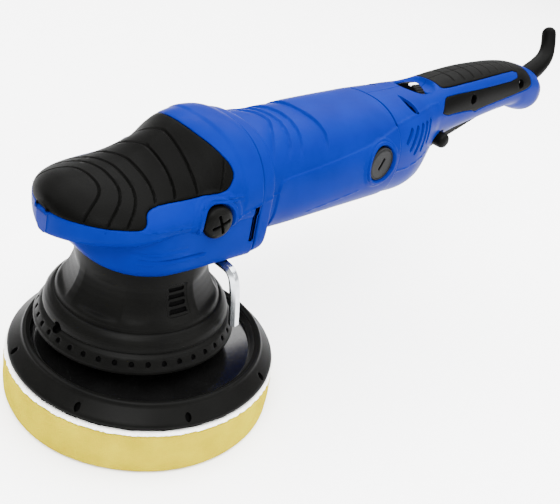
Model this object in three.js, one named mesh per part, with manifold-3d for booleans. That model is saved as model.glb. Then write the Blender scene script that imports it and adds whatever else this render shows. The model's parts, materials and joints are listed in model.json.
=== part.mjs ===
// Dual action polisher: a bevel-geared head with a free-spinning, off-centre pad, a motor barrel
// and a rear handle. Millimetres, +Z up. The origin is on the drive spindle's axis, in the plane of
// the foam's working face. The handle points along +X.
import * as THREE from 'three';
import { mergeVertices } from 'three/addons/utils/BufferGeometryUtils.js';
import Module from 'manifold-3d';

const wasm = await Module();
wasm.setup();

// ---- Driving dimensions ----
const GAP = 0.3;
const WALL = 3;
const RUBBER = 2.6;

const PAD_RADIUS = 75;
const FOAM_HEIGHT = 24.2;
const THROW_RADIUS = 7.5;
const THROW_ANGLE = THREE.MathUtils.degToRad(-68);
const PAD_X = THROW_RADIUS * Math.cos(THROW_ANGLE);
const PAD_Y = THROW_RADIUS * Math.sin(THROW_ANGLE);
const PLATE_BOTTOM = 27.6;
const PLATE_TOP = 38;
const PLATE_RIM_RADIUS = 62.5;
const SPINDLE_FOOT = 37.3;

const MOTOR_Z = 125;
const GEAR_TEETH = 28;
const PINION_TEETH = 7;
const GEAR_RADIUS = 28;
const PINION_RADIUS = GEAR_RADIUS * PINION_TEETH / GEAR_TEETH;
const GEAR_FACE = 9;
const TOOTH_RISE = 1.1;
const TOOTH_DEPTH = 1.7;
const SPINDLE_RADIUS = 6;
const SHAFT_RADIUS = 5;
const CASE_BOTTOM = 106;

const HEAD_HALF = 40.5;
const NOSE_CENTRE_X = -19;
const HEAD_BOTTOM = 93;
const LIP_HEIGHT = 122;
const LIP_BOTTOM = 111;
const HEAD_SEAM_X = 42;
const BARREL_START_X = 42.4;
const BARREL_END_X = 157;
const REAR_START_X = 157.4;
const HANDLE_END_X = 363;
const NECK_RADIUS = 36.4;

const CAP_X = 13;
const CAP_Z = 119;
const BRUSH_X = 141;
const BRUSH_CAP_Z = MOTOR_Z + 4.5;
const DIAL_X = 204;
const DIAL_RADIUS = 13;
const DIAL_Z = 150.5;
const TRIGGER_PIVOT_X = 289;
const TRIGGER_PIVOT_Z = 139;
const TRIGGER_HALF = 7.5;
const PLUNGER_X = 250;
const LOCK_X = 220;
const LOCK_Z = 130.5;
const HANDLE_SCREWS = [[250, 155.5], [311, 161.5]];
const KEY_RADIUS = 2.9;
const KEY_X = 27;
const KEY_Z = 88.2;

// ---- Colours ----
const BLUE = { color: 0x1440c8, roughness: 0.4, metalness: 0 };
const RUBBER_BLACK = { color: 0x1c1c1d, roughness: 0.75, metalness: 0 };
const PLASTIC_BLACK = { color: 0x17181a, roughness: 0.5, metalness: 0 };
const GREY_PLASTIC = { color: 0x3a3c3f, roughness: 0.55, metalness: 0 };
const FOAM_YELLOW = { color: 0xf0e46c, roughness: 0.95, metalness: 0 };
const LOOP_WHITE = { color: 0xf2f2f0, roughness: 0.95, metalness: 0 };
const STEEL = { color: 0x9a9da1, roughness: 0.35, metalness: 1 };
const CHROME = { color: 0xd9dcde, roughness: 0.12, metalness: 1 };
const CAST_ALUMINIUM = { color: 0xa8abad, roughness: 0.5, metalness: 1 };
const CAST_IRON = { color: 0x6c6e70, roughness: 0.65, metalness: 1 };
const COPPER = { color: 0xb4682e, roughness: 0.4, metalness: 1 };
const BRASS = { color: 0xc9a24a, roughness: 0.35, metalness: 1 };
const CARBON = { color: 0x2b2b2b, roughness: 0.8, metalness: 0 };
const BOARD_GREEN = { color: 0x1f5f3a, roughness: 0.6, metalness: 0 };

const object = new THREE.Group();

function addPart(name, solid, look) {
  const mesh = new THREE.Mesh(geometryOf(solid), new THREE.MeshStandardMaterial(look));
  mesh.name = name;
  object.add(mesh);
}

// ---- Solids: joining and cutting ----
function solidOf(geometry) {
  const bare = geometry.clone();
  bare.deleteAttribute('normal');
  bare.deleteAttribute('uv');
  const merged = mergeVertices(bare, 1e-4);
  return new wasm.Manifold(new wasm.Mesh({
    numProp: 3,
    vertProperties: Float32Array.from(merged.attributes.position.array),
    triVerts: Uint32Array.from(merged.index.array),
  }));
}

function geometryOf(solid) {
  const mesh = solid.getMesh();
  const geometry = new THREE.BufferGeometry();
  geometry.setAttribute('position', new THREE.BufferAttribute(mesh.vertProperties, 3));
  geometry.setIndex(new THREE.BufferAttribute(mesh.triVerts, 1));
  return geometry;
}

const joined = (...solids) => solids.reduce((whole, next) => whole.add(next));
const cut = (solid, ...tools) => tools.reduce((left, tool) => left.subtract(tool), solid);

// ---- Solids: basic shapes, each given by where it starts and ends ----
function block(x0, x1, y0, y1, z0, z1) {
  const geometry = new THREE.BoxGeometry(x1 - x0, Math.abs(y1 - y0), z1 - z0);
  geometry.translate((x0 + x1) / 2, (y0 + y1) / 2, (z0 + z1) / 2);
  return solidOf(geometry);
}

// A lathe of [radius, height] points, taken in the order that turns its faces outwards.
function lathe(profile, sides) {
  const points = profile.map(([radius, along]) => new THREE.Vector2(radius, along));
  if (THREE.ShapeUtils.area(points) < 0) points.reverse();
  return new THREE.LatheGeometry(points, sides);
}

// A profile of [radius, height] points turned about a Z-parallel axis through (x, y).
const turnedZ = (profile, sides = 24, x = 0, y = 0) =>
  solidOf(lathe(profile, sides).rotateX(Math.PI / 2).translate(x, y, 0));

// A profile of [radius, x] points turned about the motor's axis.
const turnedX = (profile, sides = 24) =>
  solidOf(lathe(profile, sides).rotateZ(-Math.PI / 2).translate(0, 0, MOTOR_Z));

// A profile of [radius, y] points turned about a Y-parallel axis through (x, z).
const turnedY = (profile, sides, x, z) => solidOf(lathe(profile, sides).translate(x, 0, z));

const rod = (radius, from, to) => [[0, from], [radius, from], [radius, to], [0, to]];

const ring = (inner, outer, from, to) =>
  [[inner, from], [outer, from], [outer, to], [inner, to], [inner, from]];

// A side-view outline of [x, z] points, filling y0 to y1.
function sidePlate(outline, y0, y1) {
  const shape = new THREE.Shape(outline.map(([x, z]) => new THREE.Vector2(x, z)));
  const geometry = new THREE.ExtrudeGeometry(shape, { depth: y1 - y0, bevelEnabled: false });
  return solidOf(geometry.rotateX(Math.PI / 2).translate(0, y1, 0));
}

// A solid whose cross-sections are closed rings of points, one after another.
function skin(rings) {
  const count = rings[0].length;
  const positions = rings.flat().flatMap((point) => [point.x, point.y, point.z]);
  const index = [];
  for (let r = 0; r + 1 < rings.length; r++) {
    for (let k = 0; k < count; k++) {
      const a = r * count + k;
      const b = r * count + (k + 1) % count;
      index.push(a, b, b + count, a, b + count, a + count);
    }
  }
  const last = (rings.length - 1) * count;
  for (let k = 1; k + 1 < count; k++) {
    index.push(0, k + 1, k, last, last + k, last + k + 1);
  }
  const geometry = new THREE.BufferGeometry();
  geometry.setAttribute('position', new THREE.BufferAttribute(new Float32Array(positions), 3));
  geometry.setIndex(index);
  const solid = solidOf(geometry);
  if (solid.volume() > 0) return solid;
  geometry.setIndex(index.reverse());
  return solidOf(geometry);
}

// A hull-like body along X. Each station is a rounded box section with its own half-width,
// bottom, widest height and top; square is the superellipse power of its corners, low that of
// its lower corners. A positive inset makes the same body with thinner sections.
function bodyAlongX(stations, inset = 0, count = 16) {
  const rings = stations.map((station) => {
    const { x, half, bottom, top, square = 2.5, low = square } = station;
    const mid = station.mid ?? (bottom + top) / 2;
    const points = [];
    for (let k = 0; k < count; k++) {
      const angle = 2 * Math.PI * (k + 0.5) / count;
      const [c, s] = [Math.cos(angle), Math.sin(angle)];
      const power = 2 / (s > 0 ? square : low);
      const reach = s > 0 ? top - inset - mid : mid - bottom - inset;
      const y = Math.sign(c) * (half - inset) * Math.abs(c) ** power;
      const z = mid + Math.sign(s) * reach * Math.abs(s) ** power;
      points.push(new THREE.Vector3(x, y, z));
    }
    return points;
  });
  return skin(rings);
}

// A round bar along a smooth curve through the given points, with a radius at each point.
function taperedBar(points, radii, sides = 12) {
  const curve = new THREE.CatmullRomCurve3(points.map((p) => new THREE.Vector3(...p)));
  const steps = (radii.length - 1) * 2;
  const frames = curve.computeFrenetFrames(steps, false);
  const rings = [];
  for (let i = 0; i <= steps; i++) {
    const centre = curve.getPoint(i / steps);
    const radius = (radii[Math.floor(i / 2)] + radii[Math.ceil(i / 2)]) / 2;
    const around = [];
    for (let k = 0; k < sides; k++) {
      const angle = 2 * Math.PI * k / sides;
      const point = centre.clone();
      point.addScaledVector(frames.normals[i], radius * Math.cos(angle));
      point.addScaledVector(frames.binormals[i], radius * Math.sin(angle));
      around.push(point);
    }
    rings.push(around);
  }
  return skin(rings);
}

// A constant section swept along a smooth curve.
function sweptBar(points, radius, sides, steps) {
  const section = new THREE.Shape();
  for (let k = 0; k < sides; k++) {
    const angle = 2 * Math.PI * k / sides;
    const corner = [radius * Math.cos(angle), radius * Math.sin(angle)];
    if (k === 0) section.moveTo(...corner);
    else section.lineTo(...corner);
  }
  const extrudePath = new THREE.CatmullRomCurve3(points.map((p) => new THREE.Vector3(...p)));
  return solidOf(new THREE.ExtrudeGeometry(section, { steps, extrudePath, bevelEnabled: false }));
}

// ---- The head's outer form ----
// Half-width of the round nose at x, for a nose of the given radius.
function noseHalf(x, radius, centre) {
  const ahead = Math.max(0, centre - x);
  return Math.sqrt(Math.max(0.01, radius * radius - ahead * ahead));
}

// Stations along the head: x, height of the top, and how square the upper half is there.
const HEAD_TOP = [
  [-59.4, 124.5, 1.6], [-58.4, 127.2, 1.6], [-56, 129.6, 1.6], [-52, 132, 1.6], [-46, 134, 1.6],
  [-38, 135.6, 1.6], [-28, 137.5, 1.6], [-19, 140, 1.6], [-10, 144, 1.55], [-2, 149.5, 1.5],
  [5, 155, 1.5], [10, 158.3, 1.65], [14, 159.4, 1.85], [20, 159.8, 2.15], [28, 159.8, 2.4],
  [HEAD_SEAM_X, 158.3, 2.5],
];

function headUpper(inset) {
  const stations = HEAD_TOP.map(([x, top, square]) => ({
    x: x + (x < NOSE_CENTRE_X ? inset * Math.min(1, (NOSE_CENTRE_X - x) / HEAD_HALF) : 0),
    half: noseHalf(x, HEAD_HALF, NOSE_CENTRE_X),
    bottom: LIP_BOTTOM,
    mid: LIP_HEIGHT,
    top,
    square,
    low: 4,
  }));
  const usable = stations.filter((station) => station.half > inset + 1);
  return bodyAlongX(usable, inset);
}

// The lower part of the head: a blunt bowl whose front edge rises towards the nose.
const BOWL_FRONT = [
  [-47, 103], [-44, 98], [-38, 93.5], [-28, 90.5], [-10, 88.5], [8, 89], [22, 91.5],
  [HEAD_SEAM_X, HEAD_BOTTOM],
];

function headLower(inset) {
  const stations = BOWL_FRONT.map(([x, bottom]) => ({
    x: x + (x < -8 ? inset * Math.min(1, (-8 - x) / 40) : 0),
    half: noseHalf(x, 39.6, -8),
    bottom,
    mid: 116,
    top: 124,
    square: 8,
    low: 6,
  }));
  return bodyAlongX(stations, inset);
}

// Side view of the rubber's area: above the lip line and ahead of the raised ring.
const GRIP_OUTLINE = [
  [-72, 129.5], [-59, 124.8], [-53, 123.2], [-29.6, 122.5], [-26.5, 126.4], [-22, 128.8],
  [-1, 131.3], [14, 133.4], [20, 136.5], [21.3, 141.5], [20.6, 146.8], [17, 151.6],
  [12.8, 156.6], [10, 166], [-72, 166],
];

function headGrip() {
  const region = sidePlate(GRIP_OUTLINE, -60, 60);
  return cut(headUpper(0).intersect(region), headUpper(RUBBER));
}

function headShell() {
  const outline = GRIP_OUTLINE.map(([x, z]) => [x + (x > 13 ? GAP : 0), z - (z < 150 ? GAP : 0)]);
  const pocket = cut(sidePlate(outline, -60, 60), headUpper(RUBBER + GAP));
  const bossRing = (side) => turnedY(ring(9.6, 12.5, side * 37, side * 42.2), 20, CAP_X, CAP_Z);
  const outer = joined(headUpper(0), headLower(0), bossRing(1), bossRing(-1));
  const hollow = joined(
    headUpper(RUBBER + WALL + 0.4),
    headLower(WALL),
    block(30, HEAD_SEAM_X + 1, -30, 30, 99, 147),
  );
  const capHole = turnedY(rod(5.4, -60, 60), 20, CAP_X, CAP_Z);
  const capSeat = (side) => turnedY(rod(9.6, side * 39.6, side * 60), 20, CAP_X, CAP_Z);
  const neckOpening = turnedZ(rod(NECK_RADIUS + 0.6, 80, 112), 26);
  const slot = (side) => block(36.8, 39.4, side * 36, side * 60, 103, 123);
  const shell = cut(
    outer, pocket, hollow, capHole, capSeat(1), capSeat(-1), neckOpening, slot(1), slot(-1),
  );
  const keyClip = block(KEY_X - 5, KEY_X + 5, -36.5, -32.5, 84.4, 94.5);
  const keySeat = block(KEY_X - 3.3, KEY_X + 3.3, -37, -32, 85.6, 92);
  return joined(shell, cut(keyClip, keySeat));
}

// A threaded plug with a domed, cross-slotted cap; side is +1 or -1 along Y.
function headCap(side) {
  const profile = [
    [0, 30.4], [5, 30.4], [5, 39.9], [9.2, 39.9], [9.2, 41.8], [8, 43.9], [5, 45.1], [0, 45.5],
  ].map(([radius, out]) => [radius, side * out]);
  const across = block(CAP_X - 6, CAP_X + 6, side * 43.5, side * 50, CAP_Z - 0.8, CAP_Z + 0.8);
  const upright = block(CAP_X - 0.8, CAP_X + 0.8, side * 43.5, side * 50, CAP_Z - 6, CAP_Z + 6);
  return cut(turnedY(profile, 20, CAP_X, CAP_Z), across, upright);
}

// ---- Gear head ----
function gearCase() {
  const outer = turnedZ([
    [0, CASE_BOTTOM], [33, CASE_BOTTOM], [33, 120], [27, 128], [12, 135], [0, 135],
  ], 24);
  const chamber = turnedZ([
    [0, CASE_BOTTOM - 1], [30.2, CASE_BOTTOM - 1], [30.2, 118.5], [25.5, 124.5], [0, 124.5],
  ], 24);
  const nose = turnedX(rod(25, 16, 56), 24);
  const noseHollow = turnedX(rod(22, 15, 43), 24);
  const bearingSeat = turnedX(rod(14.3, 44.5, 57), 20);
  const shaftHole = turnedX(rod(6.5, 40, 46), 20);
  const upperSeat = turnedZ(rod(11.3, 118, 132.7), 20);
  const plateClearance = turnedZ(rod(34.5, 80, CASE_BOTTOM), 24);
  const plugHole = turnedY(rod(5.4, -60, 60), 20, CAP_X, CAP_Z);
  return cut(
    joined(outer, nose), chamber, noseHollow, bearingSeat, shaftHole, upperSeat, plateClearance,
    plugHole,
  );
}

const SHROUD_SCREW_RADIUS = 28;
const shroudScrewPlaces = [90, 210, 330].map((degrees) => {
  const angle = THREE.MathUtils.degToRad(degrees);
  return [SHROUD_SCREW_RADIUS * Math.cos(angle), SHROUD_SCREW_RADIUS * Math.sin(angle)];
});

function bearingPlate() {
  const plate = turnedZ([
    [8, 90], [33, 90], [33, CASE_BOTTOM - GAP], [21.5, CASE_BOTTOM - GAP], [17.8, 103.6],
    [17.8, 92], [8, 92], [8, 90],
  ], 24);
  const holes = shroudScrewPlaces.map(([x, y]) => turnedZ(rod(2.3, 80, 99), 8, x, y));
  return cut(plate, ...holes);
}

// Height of the gear's pitch cone at a radius from the spindle's axis.
const gearPitchZ = (radius) => MOTOR_Z - PINION_RADIUS * radius / GEAR_RADIUS;

// One tooth along a cone, from inner to outer radius, tapering to the cone's apex. rise and
// depth are measured from the pitch cone at the outer end.
function gearTooth(angle) {
  const rings = [GEAR_RADIUS - GEAR_FACE, GEAR_RADIUS].map((radius) => {
    const scale = radius / GEAR_RADIUS;
    const [foot, tip] = [0.68 * scale, 0.3 * scale];
    const low = gearPitchZ(radius) - (TOOTH_DEPTH + 0.4) * scale;
    const high = gearPitchZ(radius) + TOOTH_RISE * scale;
    return [[-foot, low], [foot, low], [tip, high], [-tip, high]].map(([y, z]) =>
      new THREE.Vector3(radius, y, z).applyAxisAngle(new THREE.Vector3(0, 0, 1), angle));
  });
  return skin(rings);
}

function bevelGear() {
  const innerRadius = GEAR_RADIUS - GEAR_FACE - 1;
  const body = turnedZ([
    [SPINDLE_RADIUS + GAP, 107.5], [16, 107.5], [GEAR_RADIUS, 112.5],
    [GEAR_RADIUS, gearPitchZ(GEAR_RADIUS) - TOOTH_DEPTH],
    [innerRadius, gearPitchZ(innerRadius) - TOOTH_DEPTH * innerRadius / GEAR_RADIUS],
    [SPINDLE_RADIUS + GAP, 117.5], [SPINDLE_RADIUS + GAP, 107.5],
  ], GEAR_TEETH);
  const teeth = [];
  for (let k = 0; k < GEAR_TEETH; k++) teeth.push(gearTooth(2 * Math.PI * (k + 0.5) / GEAR_TEETH));
  return joined(body, ...teeth);
}

function pinionTooth(angle) {
  const rings = [GEAR_RADIUS - GEAR_FACE, GEAR_RADIUS].map((x) => {
    const scale = x / GEAR_RADIUS;
    const pitch = PINION_RADIUS * scale;
    const [foot, tip] = [0.95 * scale, 0.4 * scale];
    const low = pitch - (TOOTH_DEPTH + 0.4) * scale;
    const high = pitch + TOOTH_RISE * scale;
    return [[-foot, low], [foot, low], [tip, high], [-tip, high]].map(([y, z]) => {
      const point = new THREE.Vector3(x, y, -z).applyAxisAngle(new THREE.Vector3(1, 0, 0), angle);
      return point.add(new THREE.Vector3(0, 0, MOTOR_Z));
    });
  });
  return skin(rings);
}

function pinion() {
  const root = (x) => (PINION_RADIUS - TOOTH_DEPTH) * x / GEAR_RADIUS;
  const front = GEAR_RADIUS - GEAR_FACE;
  const core = turnedX([
    [0, front - 1], [root(front), front - 1], [root(GEAR_RADIUS), GEAR_RADIUS], [5.6, 31.3], [0, 31.3],
  ], 18);
  const teeth = [];
  for (let k = 0; k < PINION_TEETH; k++) teeth.push(pinionTooth(2 * Math.PI * k / PINION_TEETH));
  return joined(core, ...teeth);
}

// ---- Orbit drive ----
// The counterweight carries the pad bearing off centre and balances the pad on the other side.
function counterweight() {
  const hub = turnedZ(rod(12, 60, 86), 24);
  const boss = turnedZ(rod(20, 46, 63), 28, PAD_X, PAD_Y);
  const weight = new THREE.Shape();
  const middle = THROW_ANGLE + Math.PI;
  weight.absarc(0, 0, 40, middle - 1.25, middle + 1.25, false);
  weight.absarc(0, 0, 10, middle + 1.25, middle - 1.25, true);
  const slab = new THREE.ExtrudeGeometry(weight, { depth: 14, curveSegments: 8, bevelEnabled: false });
  const spindleBore = turnedZ(rod(SPINDLE_RADIUS + GAP, 64, 90), 24);
  const bearingBore = turnedZ(rod(14.3, 40, 60.3), 28, PAD_X, PAD_Y);
  return cut(joined(hub, boss, solidOf(slab.translate(0, 0, 49))), spindleBore, bearingBore);
}

const padTurned = (profile, sides = 32) => turnedZ(profile, sides, PAD_X, PAD_Y);

function padSpindle() {
  const shaft = padTurned([
    [4.3, SPINDLE_FOOT], [11, SPINDLE_FOOT], [11, 42], [7, 43.5], [7, 59.6], [0, 59.6], [0, 56],
    [4.3, 56], [4.3, SPINDLE_FOOT],
  ], 24);
  const flat = (side) => block(PAD_X - 20, PAD_X + 20, PAD_Y + side * 9.5, PAD_Y + side * 20, 37.5, 41);
  return cut(shaft, flat(1), flat(-1));
}

// Cap screw with a six-sided socket, put in from the pad's side.
function padBolt() {
  const bolt = padTurned([[0, 28.2], [6.4, 28.2], [6.4, 33], [4, 33], [4, 54], [0, 54]], 20);
  return cut(bolt, padTurned(rod(KEY_RADIUS + 0.3, 27, 31), 6));
}

function backingPlate() {
  const profile = [
    [7.4, PLATE_BOTTOM], [73.5, PLATE_BOTTOM], [73.5, 29.5], [66, 36.4], [65, PLATE_TOP],
    [PLATE_RIM_RADIUS, PLATE_TOP], [60, 31.5], [24, 31.5], [20, SPINDLE_FOOT - GAP],
    [4.4, SPINDLE_FOOT - GAP], [4.4, 33.4], [7.4, 33.4],
    [7.4, PLATE_BOTTOM],
  ];
  const vents = [];
  for (let k = 0; k < 8; k++) {
    const angle = 2 * Math.PI * (k + 0.64) / 8;
    const [x, y] = [PAD_X + 70.5 * Math.cos(angle), PAD_Y + 70.5 * Math.sin(angle)];
    vents.push(turnedZ(rod(1.7, 20, 45), 6, x, y));
  }
  return cut(padTurned(profile, 32), ...vents);
}

const hookDisc = () => padTurned(ring(8, 72.5, 26.2, PLATE_BOTTOM - GAP), 28);
const loopLayer = () => padTurned(rod(PAD_RADIUS - 0.4, FOAM_HEIGHT + GAP, 25.9), 32);

function foamPad() {
  return padTurned([
    [0, 0], [PAD_RADIUS - 0.8, 0], [PAD_RADIUS, 1.5], [PAD_RADIUS, 20],
    [PAD_RADIUS - 0.7, FOAM_HEIGHT], [0, FOAM_HEIGHT],
  ], 32);
}

// ---- Shroud round the orbit drive ----
const SHROUD_OUTSIDE = [
  [54.8, 43], [54.8, 45.5], [51.8, 51.5], [50.8, 53.5], [50.8, 58], [49, 62.5], [46.8, 64.5],
  [42, 71], [38.6, 78], [NECK_RADIUS, 84], [NECK_RADIUS, 96.5],
];
const SHROUD_INSIDE = [
  [33.6, 96.5], [33.6, 89.7], [24, 89.7], [24, 86.5], [33.6, 86.5], [36, 78], [39.4, 71],
  [44, 64.5], [46, 62], [48, 58], [48, 52], [52, 43],
];

function shroud() {
  const shell = turnedZ([...SHROUD_OUTSIDE, ...SHROUD_INSIDE, SHROUD_OUTSIDE[0]], 26);
  const slots = [];
  for (const heading of [-95, 85]) {
    for (let row = 0; row < 3; row++) {
      const slot = new THREE.BoxGeometry(16, 10, 3);
      slot.translate(44, 0, 71.5 + 5.4 * row);
      slots.push(solidOf(slot.rotateZ(THREE.MathUtils.degToRad(heading))));
    }
  }
  const screwHoles = shroudScrewPlaces.map(([x, y]) => turnedZ(rod(2.3, 80, 95), 8, x, y));
  return cut(shell, ...slots, ...screwHoles);
}

const shroudScrew = ([x, y]) =>
  turnedZ([[0, 83], [3.6, 83], [3.6, 86.2], [2, 86.2], [2, 98], [0, 98]], 8, x, y);

const HEX_KEY_PATH = [
  [KEY_X, -30, KEY_Z], [KEY_X, -36, KEY_Z], [KEY_X + 0.2, -40.5, KEY_Z - 0.8],
  [KEY_X + 0.7, -43.8, KEY_Z - 4.2], [KEY_X + 1.4, -45.2, KEY_Z - 9.5], [KEY_X + 2.8, -45.8, 69],
  [KEY_X + 4.6, -46.2, 54.5],
];

// ---- Motor barrel ----
const BARREL = [
  { x: BARREL_START_X, half: 40.3, bottom: HEAD_BOTTOM, top: 158.3, square: 2.6, low: 4 },
  { x: 49.5, half: 39.8, bottom: HEAD_BOTTOM, top: 157.5, square: 2.6, low: 4 },
  { x: 52.5, half: 37.2, bottom: 91.8, top: 155.3, low: 3 },
  { x: 70, half: 36.5, bottom: 91.5, top: 155.3, low: 2.6 },
  { x: 110, half: 37, bottom: 93, top: 158.3, low: 2.4 },
  { x: BARREL_END_X, half: 37.5, bottom: 95, top: 161, low: 2.3 },
];

function motorHousing() {
  const outer = bodyAlongX(BARREL);
  const hollowStations = BARREL.filter((station) => station.x > 52);
  hollowStations[0] = { ...hollowStations[0], x: 50.5 };
  const last = hollowStations.length - 1;
  hollowStations[last] = { ...hollowStations[last], x: BARREL_END_X + 1 };
  const boss = (side) => turnedY(ring(11, 13.5, side * 32, side * 38.6), 20, BRUSH_X, BRUSH_CAP_Z);
  const brushHole = turnedY(rod(10.4, -60, 60), 20, BRUSH_X, BRUSH_CAP_Z);
  const noseHole = turnedX(rod(25.4, 40, 52), 24);
  return cut(
    joined(outer, boss(1), boss(-1)), bodyAlongX(hollowStations, WALL), brushHole, noseHole,
  );
}

function stator() {
  const profile = ring(18.5, 27, 73, 121);
  const slot = (side) => block(70, 124, side * 15.8, side * 23.3, MOTOR_Z - 10.8, MOTOR_Z + 10.8);
  return cut(turnedX(profile, 32), slot(1), slot(-1));
}

function fieldCoil(side) {
  const coil = block(69, 127, side * 16.1, side * 23, MOTOR_Z - 10.5, MOTOR_Z + 10.5);
  return cut(coil, turnedX(rod(18.8, 60, 130), 24));
}

function armatureCore() {
  const shape = new THREE.Shape();
  const slots = 12;
  for (let k = 0; k < slots; k++) {
    const centre = 2 * Math.PI * k / slots;
    [[-0.19, 17.7], [0.19, 17.7], [0.21, 14.4], [0.31, 14.4]].forEach(([offset, radius], i) => {
      const point = [radius * Math.cos(centre + offset), radius * Math.sin(centre + offset)];
      if (k === 0 && i === 0) shape.moveTo(...point);
      else shape.lineTo(...point);
    });
  }
  const bore = new THREE.Path();
  bore.absarc(0, 0, SHAFT_RADIUS + GAP, 0, 2 * Math.PI, true);
  shape.holes.push(bore);
  const stack = new THREE.ExtrudeGeometry(shape, { depth: 44, curveSegments: 5, bevelEnabled: false });
  return solidOf(stack.rotateY(Math.PI / 2).translate(76, 0, MOTOR_Z));
}

function coolingFan() {
  const hub = turnedX([
    [SHAFT_RADIUS + GAP, 57.5], [10, 57.5], [24, 58.5], [24, 60], [10, 61.5], [10, 66.5],
    [SHAFT_RADIUS + GAP, 66.5], [SHAFT_RADIUS + GAP, 57.5],
  ], 24);
  const blades = [];
  for (let k = 0; k < 8; k++) {
    const blade = new THREE.BoxGeometry(7.5, 15, 1.6);
    blade.rotateX(0.35).translate(62.8, 16.2, 0).rotateX(2 * Math.PI * k / 8).translate(0, 0, MOTOR_Z);
    blades.push(solidOf(blade));
  }
  return joined(hub, ...blades);
}

const endBracket = () => {
  const plate = turnedX([
    [8, 159], [26, 159], [26, 162], [13.5, 162], [13.5, 167.4], [11.3, 167.4], [11.3, 160.5],
    [8, 160.5], [8, 159],
  ], 20);
  const vents = [];
  for (let k = 0; k < 4; k++) {
    const vent = new THREE.CylinderGeometry(5, 5, 10, 8).rotateZ(Math.PI / 2);
    vent.translate(160, 19.8, 0).rotateX(Math.PI * (k + 0.5) / 2).translate(0, 0, MOTOR_Z);
    vents.push(solidOf(vent));
  }
  return cut(plate, ...vents);
};

// ---- Brush gear, one on each side ----
function brushHolder(side) {
  const box = block(BRUSH_X - 6, BRUSH_X + 6, side * 15, side * 29, MOTOR_Z - 7, MOTOR_Z + 7);
  return cut(box, block(BRUSH_X - 4.4, BRUSH_X + 4.4, side * 10, side * 35, MOTOR_Z - 5.4, MOTOR_Z + 5.4));
}

const carbonBrush = (side) =>
  block(BRUSH_X - 4, BRUSH_X + 4, side * 12.6, side * 25, MOTOR_Z - 5, MOTOR_Z + 5);

function brushCap(side) {
  const cap = turnedY(rod(10, side * 31.5, side * 37.4), 20, BRUSH_X, BRUSH_CAP_Z);
  return cut(cap, block(BRUSH_X - 4, BRUSH_X + 4, side * 36, side * 40, BRUSH_CAP_Z - 1, BRUSH_CAP_Z + 1));
}

// ---- Rear housing and handle, a clamshell split down the middle ----
const REAR = [
  { x: REAR_START_X, half: 37.5, bottom: 95, top: 161, low: 2.3 },
  { x: 178, half: 35.5, bottom: 95.5, top: 162 },
  { x: 192, half: 32, bottom: 97, top: 163.3 },
  { x: 203, half: 27.5, bottom: 106, top: 164 },
  { x: 213, half: 24, bottom: 120, top: 165 },
  { x: 235, half: 21.5, bottom: 127, top: 169 },
  { x: 270, half: 20.5, bottom: 133.5, top: 173 },
  { x: 300, half: 20, bottom: 138.5, top: 173.8 },
  { x: 318, half: 20, bottom: 140.5, top: 173 },
  { x: 328, half: 20, bottom: 137, top: 171.8 },
  { x: 342, half: 19.5, bottom: 134, top: 168.5 },
  { x: 354, half: 17, bottom: 134.5, top: 164 },
  { x: 360, half: 13.5, bottom: 137.5, top: 159.5 },
  { x: HANDLE_END_X, half: 9, bottom: 142, top: 154 },
];

// The cord guard's centreline, up to its rounded tip, and its radius at each point.
const GUARD_PATH = [
  [343, 0, 153.6], [352, 0, 159], [362.4, 0, 164.6], [369.4, 0.6, 168.2], [375.6, 1.8, 171.9],
  [380.4, 3.8, 176.5], [383.2, 6, 181.2], [384.7, 8, 185.5], [385.5, 9.6, 189],
  [385.8, 10.6, 191.4], [386, 11.3, 193], [386.1, 11.8, 194.1],
];
const GUARD_RADII = [8.2, 8, 7.4, 7, 6.6, 6.1, 5.8, 5.7, 5.6, 5, 3.6, 1];

// Side view of the rubber's area on one half: a band along the top, a panel on the side, and a
// bridge that joins them behind the bare stripe.
const HANDLE_GRIP_OUTLINE = [
  [207, 164.4], [293, 170], [293, 166], [220, 159.8], [216.5, 146], [258, 147.5], [262, 145.5],
  [318, 150.5], [327, 156], [329, 163], [324, 180], [207, 180],
];

const rearOuter = (inset = 0) => bodyAlongX(REAR, inset);
const halfSpace = (side) => block(150, 380, side * 0.15, side * 60, 60, 200);

function dialRecess(grow) {
  const bowl = new THREE.SphereGeometry(1, 16, 8);
  return solidOf(bowl.scale(14.5 + grow, 19 + grow, 5.5 + grow).translate(DIAL_X, 0, 164.2));
}

// The space inside, with a thicker wall where the rubber is let into the handle.
function rearHollow() {
  const inner = REAR.slice(0, -1).map((station) => {
    const wall = station.x < 200 ? WALL : WALL + RUBBER;
    const { half, bottom, top } = station;
    return { ...station, half: half - wall, bottom: bottom + wall, top: top - wall };
  });
  inner[0].x = REAR_START_X - 1;
  return bodyAlongX(inner);
}

function handleGrip(side) {
  const region = sidePlate(HANDLE_GRIP_OUTLINE, -60, 60);
  const screwHoles = HANDLE_SCREWS.map(([x, z]) => turnedY(rod(4.2, -60, 60), 14, x, z));
  const skinOnly = cut(rearOuter().intersect(region), rearOuter(RUBBER), ...screwHoles);
  return skinOnly.intersect(halfSpace(side));
}

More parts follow.
